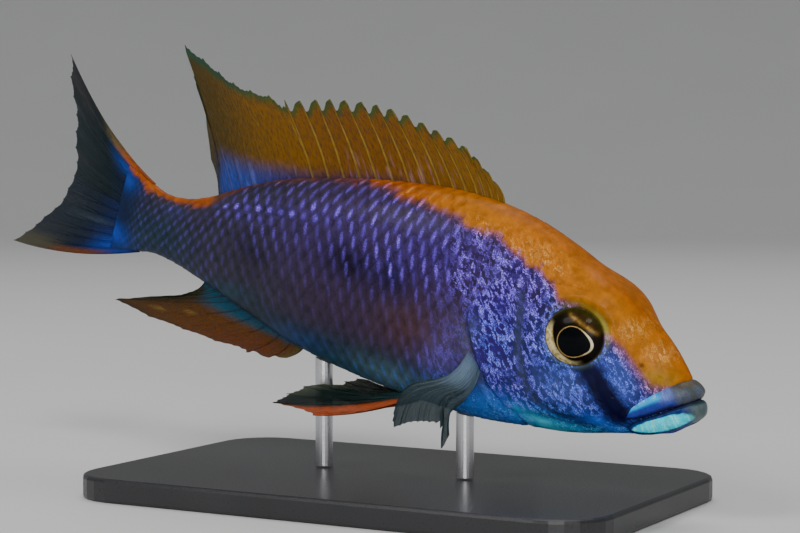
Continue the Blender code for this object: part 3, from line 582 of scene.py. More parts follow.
ORANGE, ORANGE_CREST, ORANGE_NAPE = ink(174, 102, 3), ink(170, 92, 3), ink(178, 100, 5)
ORANGE_BACK, SNOUT_OLIVE = ink(156, 74, 6), ink(146, 108, 3)


print("patches on the body", len(BODY_PATCHES))

# %% [markdown]
# A mask says how much of an ink lies at each point. Bells give soft spots, and distances to a
# line give bars and rims. All points are worked out at once, and layers go on in reading order.

# %% Masks and layers of ink
def blob(share, height, at, up, wide, tall, tilt_deg=0):
    """A tilted bell: exp of minus the squared distance measured in its two spreads."""
    tilt = math.radians(tilt_deg)
    a, b = share - at, height - up
    along = a * math.cos(tilt) - b * math.sin(tilt)
    across = a * math.sin(tilt) + b * math.cos(tilt)
    return np.exp(-(along / wide) ** 2 - (across / tall) ** 2)


def laid(under, over, mask):
    """Lays an ink over a colour by a mask from 0 to 1."""
    mask = np.clip(mask, 0, 1)[..., None]
    return under * (1 - mask) + np.asarray(over) * mask


def painted(colour, layers):
    """Lays each ink over the colour by its mask, in turn; a tuple is an ink in screen values."""
    for over, mask in layers:
        colour = laid(colour, ink(*over) if isinstance(over, tuple) else over, mask)
    return colour


def flat_ink(shape, *colour):
    """One ink over a whole array."""
    return np.broadcast_to(ink(*colour), shape + (3,)).copy()


def blaze_mask(share, height, jitter):
    """1 inside the orange blaze; its foot wanders with the jitter of each scale."""
    foot = np.interp(share, *np.array(BLAZE_FOOT).T)
    ragged = np.interp(share, [0.20, 0.26, 0.45, 0.7, 0.9], [0.001, 0.004, 0.006, 0.004, 0.003])
    rim = np.interp(share, [0.05, 0.14, 0.20, 0.30, 0.60, 0.80, 1.0],
                    [0.008, 0.008, 0.006, 0.005, 0.007, 0.006, 0.005])
    return fade(height - foot + jitter * ragged, -rim, rim)


def bar_mask(share, height):
    """The dark bar from the eye towards the corner of the mouth, wider at its foot."""
    away = np.abs(line_distance(share, height, CHEEK_BAR, 24))
    wide = np.interp(height, [-0.06, -0.02, 0.0], [0.021, 0.019, 0.018])
    return fade(away / wide, 1.25, 0.45) * fade(height, 0.012, -0.004)


def head_places(share, height):
    """1 inside the gill cover's margin fading to 0 behind it, and the way to the cheek's edge."""
    gill = line_distance(np.where(share < 0.42, share, 0.5), height, GILL_MARGIN, 40)
    cheek = line_distance(np.where(share < 0.4, share, 0.6), height, CHEEK_EDGE, 40)
    return fade(gill, -0.002, 0.004) * (share < 0.42), np.abs(cheek)


print("blaze at the nape", blaze_mask(np.array([0.3]), 0.14, 0.0).round(2))

# %% [markdown]
# The fish is dark violet on the flank, blue on the head and belly, and orange from the snout
# along the back. The base tones go on first, then the patches, the dark bar, the orange, whose
# ragged foot covers them, then the rims round the eye, and last painted shade in the orbit under
# the eye's rim and in the nostril's pit. The teal along the belly's lower edge is partly its own
# colour and partly a painted reflection.

# %% Ink of the body
def body_paint(share, height, jitter):
    """Ink of the skin at each point, from the base tones to painted shade in the orbit and nostril."""
    share, height, jitter = np.broadcast_arrays(np.asarray(share, float), height, jitter)
    spot = partial(blob, share, height)
    head = fade(share, 0.300, 0.255)
    inside, cheek = head_places(share, height)
    paint = painted(flat_ink(share.shape, 54, 41, 60), (
        ((48, 46, 56), fade(share, 0.55, 0.78)),
        ((32, 46, 54), fade(height, -0.045, -0.090) * 0.9),
        ((28, 48, 56), fade(share, 0.80, 0.95) * fade(height, 0.03, -0.03)),
        # Teal at the belly's lower edge: partly its own colour, partly a painted reflection.
        ((20, 66, 78), fade(height, -0.085, -0.118) * fade(share, 0.95, 0.75)),
        ((44, 26, 102), inside),
        ((58, 66, 96), spot(0.334, 0.004, 0.012, 0.026) * 0.8),
        ((48, 54, 74), spot(0.322, 0.088, 0.016, 0.018) * 0.8),
        ((36, 38, 94), head * inside),
        ((76, 98, 170), spot(0.190, -0.040, 0.044, 0.028) * 0.5),
        ((46, 26, 68), spot(0.255, 0.080, 0.034, 0.030) * 0.85),
        ((50, 56, 80), fade(cheek, 0.010, 0.003) * inside * 0.8),
        ((58, 76, 148), spot(0.118, -0.008, 0.018, 0.036, 25) * 0.8),
        ((30, 50, 112), fade(height, -0.070, -0.084) * head),
        ((18, 32, 62), fade(share, 0.975, 1.05))))
    for name, at, up, wide, tall, tilt, colour, strength in BODY_PATCHES:
        paint = laid(paint, ink(*colour), spot(at, up, wide, tall, tilt) * strength)
    paint = laid(paint, ink(8, 8, 46), bar_mask(share, height) * 0.97)
    blaze = blaze_mask(share, height, jitter)
    top = smooth(share, BACK_STATIONS, BACK_HEIGHTS)
    orange = painted(np.broadcast_to(ORANGE, paint.shape), (
        (ORANGE_NAPE, spot(0.29, 0.145, 0.07, 0.03, -20)),
        (ORANGE_CREST, fade(top - height, 0.016, 0.002) * fade(share, 0.42, 0.30)),
        (ORANGE_BACK, fade(share, 0.38, 0.55)),
        ((84, 54, 44), fade(share, 0.56, 0.66) * fade(share, 0.862, 0.848) * 0.9),
        (SNOUT_OLIVE, spot(0.070, 0.004, 0.024, 0.014) * 0.9),
        # Paler spots on the snout and brow: painted sheen, where warm glints lie too.
        ((180, 116, 56), spot(0.080, 0.038, 0.016, 0.010) * 0.4),
        ((178, 112, 52), spot(0.120, 0.062, 0.014, 0.010, 30) * 0.4)))
    paint = laid(paint, orange, blaze)
    reach, angle = eye_polar(share, height)
    above = fade(np.sin(angle), 0.15, 0.75)
    paint = laid(paint, ink(74, 70, 10), bell((reach - 1.08) / 0.20, 1) * above * 0.75)
    front = bell(angle - 0.45, 0.55)
    paint = laid(paint, ink(150, 154, 60), bell((reach - 1.08) / 0.09, 1) * front * 0.8)
    under = fade(np.sin(angle), 0.1, -0.4)
    paint = painted(paint, (
        ((66, 84, 84), bell((reach - 1.06) / 0.08, 1) * under * 0.7),
        # Painted shade in the orbit, under the eye's rim.
        ((18, 16, 14), fade(reach, 1.02, 0.96))))
    # Painted shade in the nostril's pit.
    hole = np.hypot(share - NOSTRIL_AT[0], height - NOSTRIL_AT[1]) * STANDARD_LENGTH
    return laid(paint, ink(84, 58, 36), bell(hole, 0.7 * NOSTRIL_RADIUS))


print("blaze ink", body_paint(0.2, 0.11, 0.0).round(3), "flank ink", body_paint(0.6, 0.0, 0.0).round(3))

# %% [markdown]
# The glints are strong on the gill cover, the shoulder and the breast, and weak in the orange.
# Three values for each point carry that to the material, which makes the flecks themselves.

# %% Glints of the body
BRIGHT_PATCHES = [
    # strength, share back, share up, spread back, spread up
    (0.50, 0.485, 0.052, 0.034, 0.018), (0.50, 0.385, -0.060, 0.030, 0.050),
    (0.40, 0.455, -0.112, 0.080, 0.018), (0.16, 0.925, 0.016, 0.022, 0.012),
    (0.90, 0.295, -0.112, 0.065, 0.036), (0.30, 0.390, 0.085, 0.050, 0.050),
]


def body_glint(share, height, jitter):
    """How strongly the skin glints, its hue from violet 0 to turquoise 1, and its warmth."""
    share, height, jitter = np.broadcast_arrays(np.asarray(share, float), height, jitter)
    blaze = blaze_mask(share, height, jitter)
    line = np.interp(share, *np.array(UPPER_LINE).T)
    spot = partial(blob, share, height)
    strength = 0.16 + 0.42 * fade(height, 0.045, 0.085) * fade(share, 0.64, 0.46)
    strength += 0.18 * fade(height, 0.015, 0.06) * fade(share, 0.88, 0.72)
    strength += (0.75 * bell(height - line, 0.013) * fade(share, 0.52, 0.60)
                 * fade(share, 0.86, 0.78))
    strength += 0.40 * fade(share, 0.40, 0.36) * fade(height, 0.02, 0.06)
    strength -= (0.10 * fade(height, 0.02, -0.02) * fade(share, 0.43, 0.50)
                 * fade(share, 0.84, 0.76))
    for amount, at, up, wide, tall in BRIGHT_PATCHES:
        strength += amount * spot(at, up, wide, tall)
    strength = np.clip(strength, 0, 1) * (1 - 0.75 * spot(0.43, -0.02, 0.05, 0.035, 10))
    strength *= fade(share, 1.045, 0.99)
    inside, cheek = head_places(share, height)
    strength = strength * (1 - inside) + 0.95 * inside
    strength *= 1 - 0.85 * fade(cheek, 0.009, 0.002) * inside
    strength *= 1 - bar_mask(share, height) ** 0.6
    strength *= 1 - 0.6 * spot(0.334, 0.002, 0.010, 0.026)
    above_foot = height - np.interp(share, *np.array(BLAZE_FOOT).T)
    warm_spots = (spot(0.080, 0.038, 0.020, 0.012)
                  + spot(0.120, 0.060, 0.020, 0.012, 30)
                  + spot(0.262, 0.122, 0.040, 0.014, -20)
                  + 0.7 * bell(above_foot - 0.006, 0.011) * fade(share, 0.27, 0.33)
                  * fade(share, 0.66, 0.56))
    strength = strength * (1 - blaze) + blaze * np.clip(0.04 + 0.55 * warm_spots, 0, 0.9)
    hue = 0.08 + 0.30 * fade(share, 0.27, 0.20) + 0.55 * fade(height, -0.055, -0.105)
    hue = np.clip(hue + 0.30 * spot(0.30, -0.01, 0.05, 0.055), 0, 1)
    spread = np.interp(share, [0.05, 0.20, 0.30], [0.022, 0.012, 0.008])
    warmth = np.maximum(blaze, 0.70 * fade(above_foot / spread, -1.6, 0.2))
    return np.stack([strength, hue, warmth], -1)


def store_marks(obj, share, height, jitter):
    """Writes the ink and the glint of every point of a piece of the body."""
    store(obj, "ink", body_paint(share, height, jitter))
    store(obj, "glint", body_glint(share, height, jitter))


print("glint on the gill cover", body_glint(0.25, 0.0, 0.0).round(2))

# %% [markdown]
# With its marks known, the skin can be built. It takes the place of the head, the torso, the
# tail stalk and both gill covers, which are one surface on the living fish.

# %% The skin in its place
skin = belongs(build_skin(), "flank_skin", "head", "torso", "tail_stalk", "gill_cover_left",
               "gill_cover_right")

# %% [markdown]
# Each scale is a thin closed plate, rooted in the skin in front and standing a little proud
# behind, so that it overlaps the next. They lie in rows that follow the body, each row shifted
# by half a plate against its neighbours. A plate is a small grid whose every point is looked up
# on the body's table, which makes it bend with the body.

# %% One plate
SCALE_PITCH = 0.0205
ROW_SPACING = 0.0215
PLATE_LONG, PLATE_TALL = 7, 7
PLATE_THICKNESS = 0.00006
PLATE_REACH, PLATE_ROOT = 1.62, 0.62
ROW_REACH = 0.98
TUCK_DEPTH = 0.0007


def plate_shape():
    """A unit plate: along from root 0 to edge 1, across -1 to 1, with its rear edge rounded."""
    a, b = np.linspace(0, 1, PLATE_LONG) ** 0.85, np.linspace(-1, 1, PLATE_TALL)
    a, b = np.meshgrid(a, b, indexing="ij")
    along = a * (1 - 0.30 * np.abs(b) ** 2.2 * a)
    across = b * (0.80 + 0.20 * np.sin(np.pi * np.clip(a * 0.95, 0, 1)))
    rim = np.concatenate([np.arange(PLATE_TALL), np.arange(2, PLATE_LONG) * PLATE_TALL - 1,
                          np.arange(PLATE_LONG * PLATE_TALL - 1, (PLATE_LONG - 1) * PLATE_TALL - 1, -1),
                          np.arange(PLATE_LONG - 2, 0, -1) * PLATE_TALL])
    return along.ravel(), across.ravel(), rim


def plate_faces(count, rim):
    """Faces of many plates: the top grid, a wall down from its rim, and a fan underneath."""
    size = PLATE_LONG * PLATE_TALL
    each = size + len(rim) + 1
    ring, after = np.arange(len(rim)), (np.arange(len(rim)) + 1) % len(rim)
    top = grid_faces(PLATE_LONG, PLATE_TALL)
    wall = np.stack([rim[ring], size + ring, size + after, rim[after]], 1)
    under = np.stack([size + ring, np.full(len(rim), each - 1), size + after], 1)
    shift = (np.arange(count) * each)[:, None, None]
    quads = (np.concatenate([top, wall])[None] + shift).reshape(-1, 4)
    return quads, (under[None] + shift).reshape(-1, 3)


print("points of a plate", len(plate_shape()[0]))

# %% [markdown]
# Rows keep an even distance along the skin, and the step from plate to plate may change on the
# way from head to tail. Every other row is shifted by half a step.

# %% Rows of plates
def lattice(first, last, pitch_at, spacing_at, rows):
    """Centres in quincunx: shares stepped by the local pitch, rows at even arcs from the middle."""
    fine = np.linspace(first, last, 4000)
    steps = np.concatenate([[0], np.cumsum(np.diff(fine) / pitch_at(fine[:-1]))])
    row = np.arange(-rows, rows + 1)
    number = np.arange(0, int(steps[-1]))
    row, number = np.meshgrid(row, number, indexing="ij")
    share = np.interp(number + 0.5 * (row % 2), steps, fine)
    arc_down = np.interp(share, TABLE_SHARES, ARCS[:, 0])
    arc_up = np.interp(share, TABLE_SHARES, ARCS[:, 1])
    arc = row * spacing_at(share)
    way = np.where(arc < 0, arc / arc_down, arc / arc_up)
    return share.ravel(), way.ravel()

# %% [markdown]
# All plates of a piece are laid at once. Each is turned and grown by a little chance, and every
# point is then looked up on the body, raised towards the plate's rear edge and sunk where the
# bare skin takes over. Each plate also gets its own small place in the unwrap.

# %% Plates laid on the body
def lay_scales(name, share, way, side, pitch, spacing, lift, seed, streak):
    """One piece of plates at the centres given; those at the gill cover's edge are tucked in."""
    rng = np.random.default_rng(seed)
    along, across, rim = plate_shape()
    count = len(share)
    grow = 1 + rng.uniform(-0.05, 0.05, (count, 1))
    turn = rng.normal(0, 0.05, (count, 1))
    x = (along - PLATE_ROOT)[None] * pitch[:, None] * PLATE_REACH * grow
    y = across[None] * spacing[:, None] * ROW_REACH * grow
    x, y = x - y * turn, y + x * turn
    at = np.clip(share[:, None] + x, 0.03, SKIN_END)
    lower, upper = (np.interp(at, TABLE_SHARES, ARCS[:, k]) for k in (0, 1))
    arc = way[:, None] * np.where(way[:, None] < 0, lower, upper) + y
    round_at = np.where(arc < 0, arc / lower, arc / upper)
    place, normal, height = on_body(at, round_at, side)
    raised = lift[:, None] * (along * 0.92 + 0.08)[None] - coat_depth(at, height) + 0.00004
    raised = raised + 0.00004 * (1 - across**2)[None] * (lift[:, None] / COAT_DEPTH) - 0.00003
    raised = raised + rng.uniform(-1, 1, (count, 1)) * 0.000015 + relief(at, height)
    gill = line_distance(np.minimum(at, 0.42), height, GILL_MARGIN)
    gill = np.where(at < 0.42, gill, -1) / MM
    under = fade(gill, -1.3, -0.5) if "head" not in name else fade(gill, 0.55, 0.10)
    raised = raised - TUCK_DEPTH * under * (height < 0.095)
    top = place + normal * raised[..., None]
    skirt = top[:, rim] - normal[:, rim] * PLATE_THICKNESS
    below = skirt.mean(axis=1, keepdims=True) - normal.mean(axis=1, keepdims=True) * 0.00002
    points = np.concatenate([top, skirt, below], 1)
    quads, tris = plate_faces(count, rim)
    obj = new_piece(name, points, quads, tris, sharp_deg=50)
    each = points.shape[1]

    def spread(grid):
        """Values of the top, carried on to the plate's rim and to the middle underneath."""
        return np.concatenate([grid, grid[:, rim], grid.mean(axis=1, keepdims=True)], 1)

    jitter = np.repeat(rng.uniform(-1, 1, (count, 1)), each, 1)
    store_marks(obj, spread(at).ravel(), spread(height).ravel(), jitter.ravel())
    along, across = (spread(np.tile(line, (count, 1))) for line in (along, across))
    seeds = np.repeat(rng.uniform(0, 1, (count, 1)), each, 1)
    store(obj, "plate", np.stack([along, across, seeds], -1).reshape(-1, 3))
    within = np.clip(way, -1, 1)
    _, _, middle = on_body(share, within, side)
    slant, wide, tall, strong = (np.repeat(v[:, None], each, 1) for v in streak(share, middle))
    store(obj, "streak", np.stack([slant, wide, tall], -1).reshape(-1, 3))
    store(obj, "strong", strong.ravel())
    local = np.stack([along - 0.5, across * 0.5], -1) * 0.003
    store_uv(obj, unwrap(share, within, side)[:, None] + local)
    return belongs(obj, "flank_skin", "head" if "head" in name else "torso")

# %% [markdown]
# The flank's scales are large. They shrink over the nape and on the tail's base. Each carries
# an upright bright streak, which is a round spot along the upper side line.

# %% Scales of flank and nape
def flank_pitch(share):
    """Plates shrink to about two thirds over the nape, and again on the stalk and tail base."""
    nape = 0.62 + 0.38 * fade(share, 0.27, 0.40)
    flank = (1 + 0.12 * fade(share, 0.50, 0.60)) * (1 - 0.12 * fade(share, 0.80, 0.92))
    return SCALE_PITCH * nape * flank * (1 - 0.40 * fade(share, 0.95, 1.04))


def flank_spacing(share):
    """Row spacing grows with the body's depth, so fewer rows fit round the tail stalk."""
    depth = np.interp(share, TABLE_SHARES, ARCS[:, 1]) / np.interp(0.45, TABLE_SHARES, ARCS[:, 1])
    tail = 1 - 0.30 * fade(share, 0.96, 1.04)
    return ROW_SPACING * depth**0.6 * (0.70 + 0.30 * fade(share, 0.27, 0.40)) * tail


def flank_streak(share, height):
    """Slant, width, height and strength of each plate's bright streak; round on the side line."""
    slant = -0.13 + 0.24 * fade(height, 0.085, 0.125) + 0.24 * fade(share, 0.72, 0.88)
    line = np.interp(share, *np.array(UPPER_LINE).T)
    spots = bell(height - line, 0.011) * fade(share, 0.56, 0.64)
    wide = 0.105 + 0.065 * spots
    tall = 0.62 - 0.26 * spots
    return slant, wide, tall, 1 - 0.75 * fade(share, 0.42, 0.35)


def build_flank(side, word):
    """Plates behind the gill opening, and over the nape as far as the forehead."""
    share, way = lattice(0.19, SKIN_END - 0.004, flank_pitch, flank_spacing, 20)
    pitch, spacing = flank_pitch(share), flank_spacing(share)
    arc_edge = 1 + 0.35 * spacing / np.interp(share, TABLE_SHARES, ARCS[:, 1])
    _, _, height = on_body(share, np.clip(way, -1, 1), side)
    gill = line_distance(share, height, GILL_MARGIN) / MM
    behind = (gill < -0.4) & (share > 0.235)
    nape = (height > 0.080) & (share - 0.7 * (height - 0.080) > 0.185)
    keep = (np.abs(way) < arc_edge) & (behind | nape)
    share, way, pitch, spacing = share[keep], way[keep], pitch[keep], spacing[keep]
    _, _, height = on_body(share, np.clip(way, -1, 1), side)
    front = fade(share - 0.7 * np.clip(height - 0.08, 0, 1), 0.180, 0.240)
    lift = COAT_DEPTH * np.where(height > 0.08, 0.10 + 0.90 * front, 1.0)
    half = share < 0.56
    pieces = []
    for part, mask in (("front", half), ("rear", ~half)):
        pieces.append(lay_scales(f"scales_{part}_{word}", share[mask], way[mask], side, pitch[mask],
                                 spacing[mask], lift[mask], 11 + side, flank_streak))
    return pieces

# %% [markdown]
# Gill cover and cheek carry smaller and closer scales. The bones round the eye, the mouth and
# the dark bar carry none.

# %% Scales of gill cover and cheek
def head_pitch(share):
    """The head's plates are all one size."""
    return np.full(np.shape(share), 0.0115)


def head_streak(share, height):
    """No streaks: the head's plates carry the skin's own glints."""
    none = np.zeros_like(share)
    return none, none + 0.3, none + 0.5, none


def build_cover_scales(side, word):
    """Small, closely set plates on the gill cover and cheek, left out along the bare bones."""
    share, way = lattice(0.145, 0.345, head_pitch, head_pitch, 24)
    _, _, height = on_body(share, np.clip(way, -1, 1), side)
    gill = line_distance(share, height, GILL_MARGIN) / MM
    cheek = line_distance(share, height, CHEEK_EDGE, 40) / MM
    jaw = line_distance(share, height, JAW_EDGE, 30) / MM
    reach, _ = eye_polar(share, height)
    bar = bar_mask(share, height)
    keep = (gill > 0.9) & (np.abs(cheek) > 0.8) & (jaw > 0.8) & (reach > 1.33) & (height < 0.078)
    keep &= (bar < 0.5) & (np.abs(way) < 0.9)
    keep &= share - 0.5 * (height + 0.01) * (height < -0.01) > 0.150
    share, way = share[keep], way[keep]
    pitch = head_pitch(share)
    lift = np.full(len(share), COAT_DEPTH * 0.8)
    return lay_scales(f"scales_head_{word}", share, way, side, pitch, pitch * 0.72, lift, 31 + side,
                      head_streak)


coat = []
for side, word in ((-1, "right"), (1, "left")):
    coat += build_flank(side, word)
    coat.append(build_cover_scales(side, word))
print("pieces of the coat", len(coat))

# %% [markdown]
# The lips are two soft rolls that run from corner to corner along the mouth's line. Each is a
# ring of points carried along that line, rounded in front and thin at the corners, with a flat
# inner side where the lips meet, and fine folds across it as real lips have.

# %% Lips
MOUTH_LINE = [(0.0245, -0.0135, 0.0), (0.0255, -0.0150, 0.0085), (0.0300, -0.0190, 0.0160),
              (0.0400, -0.0270, 0.0225), (0.0560, -0.0390, 0.0282), (0.0780, -0.0540, 0.0328),
              (0.0990, -0.0670, 0.0340)]
LIP_RINGS, LIP_SIDES = 161, 40
LIP_HALF_DEPTH = 0.00120
LIP_GAP = 0.00016


def lip_paint(side, back, out, strands):
    """Inks by share back to the corner and out from the seam; grey in front, painted shade by the seam."""
    if side > 0:
        front = fade(back, 0.36, 0.22)
        return painted(flat_ink(back.shape, 42, 62, 160), (
            ((112, 128, 196), fade(back, 0.54, 0.38) * fade(out, -0.4, 0.2)
             * (0.5 + 0.6 * strands)),
            ((26, 178, 250), fade(back, 0.38, 0.52) * fade(out, -0.02, 0.35)),
            ((150, 222, 255), fade(back, 0.36, 0.50) * bell(out - 0.72, 0.22)
             * fade(strands, 0.35, 0.75) * 0.8),
            ((80, 86, 76), front * (1 - 0.25 * strands)),
            ((86, 70, 40), front * fade(out, 0.45, 0.9) * 0.6),
            # Painted shade: the upper lip darkens over its lower half towards the seam, most on its inner
            # face.
            ((20, 18, 58), fade(out, -0.15, -0.65) * 0.9 * fade(back, 0.18, 0.40)),
            ((60, 28, 30), fade(out, -0.70, -0.92) * fade(back, 0.6, 0.45) * 0.8)))
    front = fade(back, 0.26, 0.15)
    lens = fade(1 - ((back - 0.56) / 0.41) ** 2 - ((out - 0.08) / 0.66) ** 2, 0.0, 0.24)
    return painted(flat_ink(back.shape, 14, 40, 110), (
        ((20, 226, 250), lens),
        ((150, 250, 244), lens * fade(strands, 0.45, 0.80) * 0.7),
        # Painted shade on the lower lip's inner face, where the lips meet.
        ((92, 108, 104), front * (1 - 0.25 * strands)),
        ((24, 40, 60), fade(out, -0.70, -0.95) * 0.85)))


def lip_piece(name, side, half_height):
    """Rings along the mouth's line: depth by cos and height by sin, tapered to the corners."""
    line = np.array([(s, h, -w) for s, h, w in reversed(MOUTH_LINE)] + MOUTH_LINE[1:])
    run = np.concatenate([[0], np.cumsum(np.linalg.norm(np.diff(line, axis=0), axis=1))])
    place = np.sin(np.linspace(-np.pi / 2, np.pi / 2, LIP_RINGS))
    share, height, half = (smooth(run[-1] * (place + 1) / 2, run, line[:, k]) for k in range(3))
    path = in_model(share, height, half)
    reach = np.abs(place)
    thick = 1 - (0.36 if side > 0 else 0.50) * reach**1.8
    thick = thick * (1 - 0.20 * (side > 0) * fade(reach, 0.36, 0.0))
    blunt = np.sqrt(np.clip(1 - reach**10, 0.04, 1))
    tangent = np.gradient(path, axis=0)
    up = in_model(0.05, 0.1) - in_model(0.05, 0.0)
    outward = np.cross(tangent, up)
    outward /= np.linalg.norm(outward, axis=1, keepdims=True)
    rising = np.cross(outward, tangent)
    rising /= np.linalg.norm(rising, axis=1, keepdims=True)
    forward = (0.00070 if side < 0 else -0.00015) * (1 - reach) ** 1.5
    forward = forward - 0.00012 * fade(reach, 0.5, 0.95)
    gap = LIP_GAP - 0.00030 * fade(reach, 0.50, 0.10)
    middle = path + rising * side * (half_height * thick + gap / 2)[:, None]
    middle = middle + outward * forward[:, None]
    angle = np.linspace(0, 2 * np.pi, LIP_SIDES, endpoint=False)
    inner = fade(-np.sin(angle) * side, 0.2, 1.0)
    at = place[:, None]
    folds = 1 + 0.016 * np.sin(at * 190 + 3 * np.sin(at * 31)) * (0.4 + 0.6 * inner)
    folds = folds * (1 + 0.02 * np.sin(at * 43 + 1.3))
    flat_side = (0.2 + 0.7 * (inner > 0)) * fade(reach[:, None], 0.05, 0.55) + 0.3 * (inner > 0)
    power = 2 / (2.05 + flat_side)
    size = (thick * blunt)[:, None]
    wide = LIP_HALF_DEPTH * size * np.sign(np.cos(angle)) * np.abs(np.cos(angle)) ** power
    tall = half_height * size * np.sign(np.sin(angle)) * np.abs(np.sin(angle)) ** power
    in_front = fade(reach, 0.75, 0.25)[:, None]
    outer = np.clip(side * np.sin(angle), 0, 1)[None] ** 1.5 * in_front
    wide = wide + 0.00028 * (1 - outer) * in_front - 0.00085 * outer
    rings = middle[:, None] + outward[:, None] * (wide * folds)[..., None]
    rings = rings + rising[:, None] * (tall * (1 + 0.4 * (folds - 1)))[..., None]
    ends = np.stack([rings[0].mean(0), rings[-1].mean(0)])
    points = np.concatenate([rings.reshape(-1, 3), ends])
    caps = end_fans(LIP_RINGS, LIP_SIDES, (len(points) - 2, len(points) - 1))
    obj = new_piece(name, points, grid_faces(LIP_RINGS, LIP_SIDES, closed_round=True), caps)
    back = reach[:, None] + 0 * angle
    out = np.broadcast_to(side * np.sin(angle), back.shape)
    strands = grain(np.stack([place[:, None] * 60 + 0 * angle, 1.2 * out], -1), 1.0, 41)
    paint = lip_paint(side, back, out, strands)
    bright = np.clip(fade(back, 0.40, 0.60) * fade(out, -0.3, 0.4), 0, 1) * 0.12
    store(obj, "ink", np.concatenate([paint.reshape(-1, 3), paint[0, :1], paint[-1, :1]]))
    store(obj, "shine", np.concatenate([bright.ravel(), bright[0, :1], bright[-1, :1]]))
    return belongs(obj, "lip_skin", name.replace("soft_", ""))


lips = [lip_piece("soft_upper_lip", 1, 0.00175), lip_piece("soft_lower_lip", -1, 0.00190)]

# %% [markdown]
# The eye is one closed dome that fills its socket to the rim. Under a clear gloss coat its face
# carries the iris: a black pupil drawn to a point in front, a thin gold ring that thickens ahead,
# a cream crescent behind and below, and dark brown between. Each is placed by the distance and
# angle from the middle of the eye or of the pupil.

# %% Inks of the eye
def iris_paint(x, y):
    """Inks by place on the eye, in orbit radii ahead and up; the pupil is an egg with a point."""
    reach, angle = np.hypot(x, y), np.degrees(np.arctan2(y, x))
    fibres = grain(np.stack([angle / 9 + 40, reach * 3], -1), 1.0, 5)
    fleck = grain(np.stack([x * 14 + 50, y * 14 + 50], -1), 1.0, 6)
    paint = flat_ink(x.shape, 14, 9, 7)
    top = fade(y + 0.20 * x, 0.34, 0.58) * fade(x, -0.62, -0.15)
    top = top * fade(reach, 1.02, 0.90)
    paint = laid(paint, ink(58, 40, 10), top * (0.45 + 0.45 * fibres))
    streak = bell(y - 0.56 + 0.40 * (x - 0.1), 0.075)
    streak = streak * fade(x, -0.45, -0.15) * fade(x, 0.90, 0.6)
    paint = laid(paint, ink(160, 122, 56), streak * (0.25 + 0.65 * fleck))
    olive = bell((reach - 0.97) / 0.10, 1) * fade(y, 0.25, 0.7)
    paint = laid(paint, ink(52, 52, 8), olive * 0.9)
    turn = np.mod(angle, 360)
    along = fade(turn, 150, 185) * fade(turn, 306, 262)
    inner = 0.66 + 0.16 * bell(turn - 290, 34)
    inner = inner + 0.10 * bell(turn - 155, 22) - 0.03 * bell(turn - 205, 26)
    crescent = along * fade(reach, inner - 0.02, inner + 0.035) * fade(reach, 0.985, 0.955)
    cream = flat_ink(x.shape, 244, 226, 160)
    cream = laid(cream, ink(168, 134, 62), 0.70 * fade(fleck, 0.50, 0.80))
    cream = laid(cream, ink(120, 88, 34), fade(reach, inner + 0.10, inner) * 0.6)
    paint = laid(paint, cream, crescent)
    px, py = x - 0.035, y + 0.160
    ahead = np.degrees(np.arctan2(py, px))
    pupil = np.hypot(px / 0.485, py / 0.520) / (1 + 0.27 * bell((ahead + 2) / 34, 1))
    thick = 0.030 + 0.095 * bell((ahead - 14) / 38, 1)
    ring = fade(pupil, 0.985, 1.01) * fade(pupil, 1.0 + thick + 0.03, 1.0 + thick - 0.01)
    # The ring's gold lightens ahead of the pupil to a painted highlight.
    gold_with_highlight = laid(flat_ink(x.shape, 206, 170, 96), ink(250, 240, 200), bell((ahead - 10) / 40, 1) * 0.9)
    paint = painted(paint, (
        (gold_with_highlight, ring),
        ((3, 6, 10), fade(pupil, 1.0, 0.975)),
        ((110, 106, 58), bell((reach - 0.985) / 0.02, 1) * 0.45)))
    metal = np.clip(0.5 * ring + 0.3 * crescent + 0.4 * streak + 0.2 * top, 0, 1)
    return paint, metal * fade(pupil, 0.98, 1.0)

# %% [markdown]
# The dome's rim is the orbit laid on the body, so that it closes the socket all round. Rings
# crowd towards the rim, and a short cone closes the dome inside the head.

# %% The eyes
EYE_RINGS, EYE_SPOKES = 72, 180
EYE_BULGE = 0.00150


def eye_piece(side, word):
    """A dome over the orbit's rim: its height falls as the root of 1 - (0.9 r)^2 to the rim's."""
    way = way_of_height(EYE_AT[0], EYE_AT[1])
    middle, axis, _ = (v[0] for v in on_body(np.array([EYE_AT[0]]), way, side))
    theta = np.linspace(0, 2 * np.pi, EYE_SPOKES, endpoint=False)
    share = EYE_AT[0] - ORBIT_RADII[0] / STANDARD_LENGTH * np.cos(theta)
    height = EYE_AT[1] + ORBIT_RADII[1] / STANDARD_LENGTH / ORBIT_STRETCH * np.sin(theta)
    rim, _, _ = on_body(share, way_of_height(share, height), side)
    offset = rim - middle
    depth = offset @ axis
    flat = offset - depth[:, None] * axis
    r = np.sin(np.linspace(0, np.pi / 2, EYE_RINGS))[1:, None]
    dome = (np.sqrt(1 - (0.9 * r) ** 2) - math.sqrt(1 - 0.81)) / (1 - math.sqrt(1 - 0.81))
    out = (depth - 0.00010) * r**2 + EYE_BULGE * dome
    face = middle + flat * r[..., None] + axis * out[..., None]
    back = middle + flat * 0.75 + axis * (depth * 0.5 - 0.0016)[:, None]
    points = np.concatenate([[middle + axis * EYE_BULGE], face.reshape(-1, 3), back,
                             [middle - axis * 0.0030]])
    quads = grid_faces(EYE_RINGS, EYE_SPOKES, closed_round=True, start=1)
    caps = end_fans(EYE_RINGS, EYE_SPOKES, (0, len(points) - 1), start=1)
    obj = new_piece("glossy_eye_" + word, points, quads, caps, sharp_deg=40)
    paint, metal = iris_paint(*(np.concatenate([[0], (r * turn).ravel(), turn, [0]])
                                for turn in (np.cos(theta), np.sin(theta))))
    store(obj, "ink", paint)
    store(obj, "shine", metal)
    return belongs(obj, "eye", "eye_" + word)


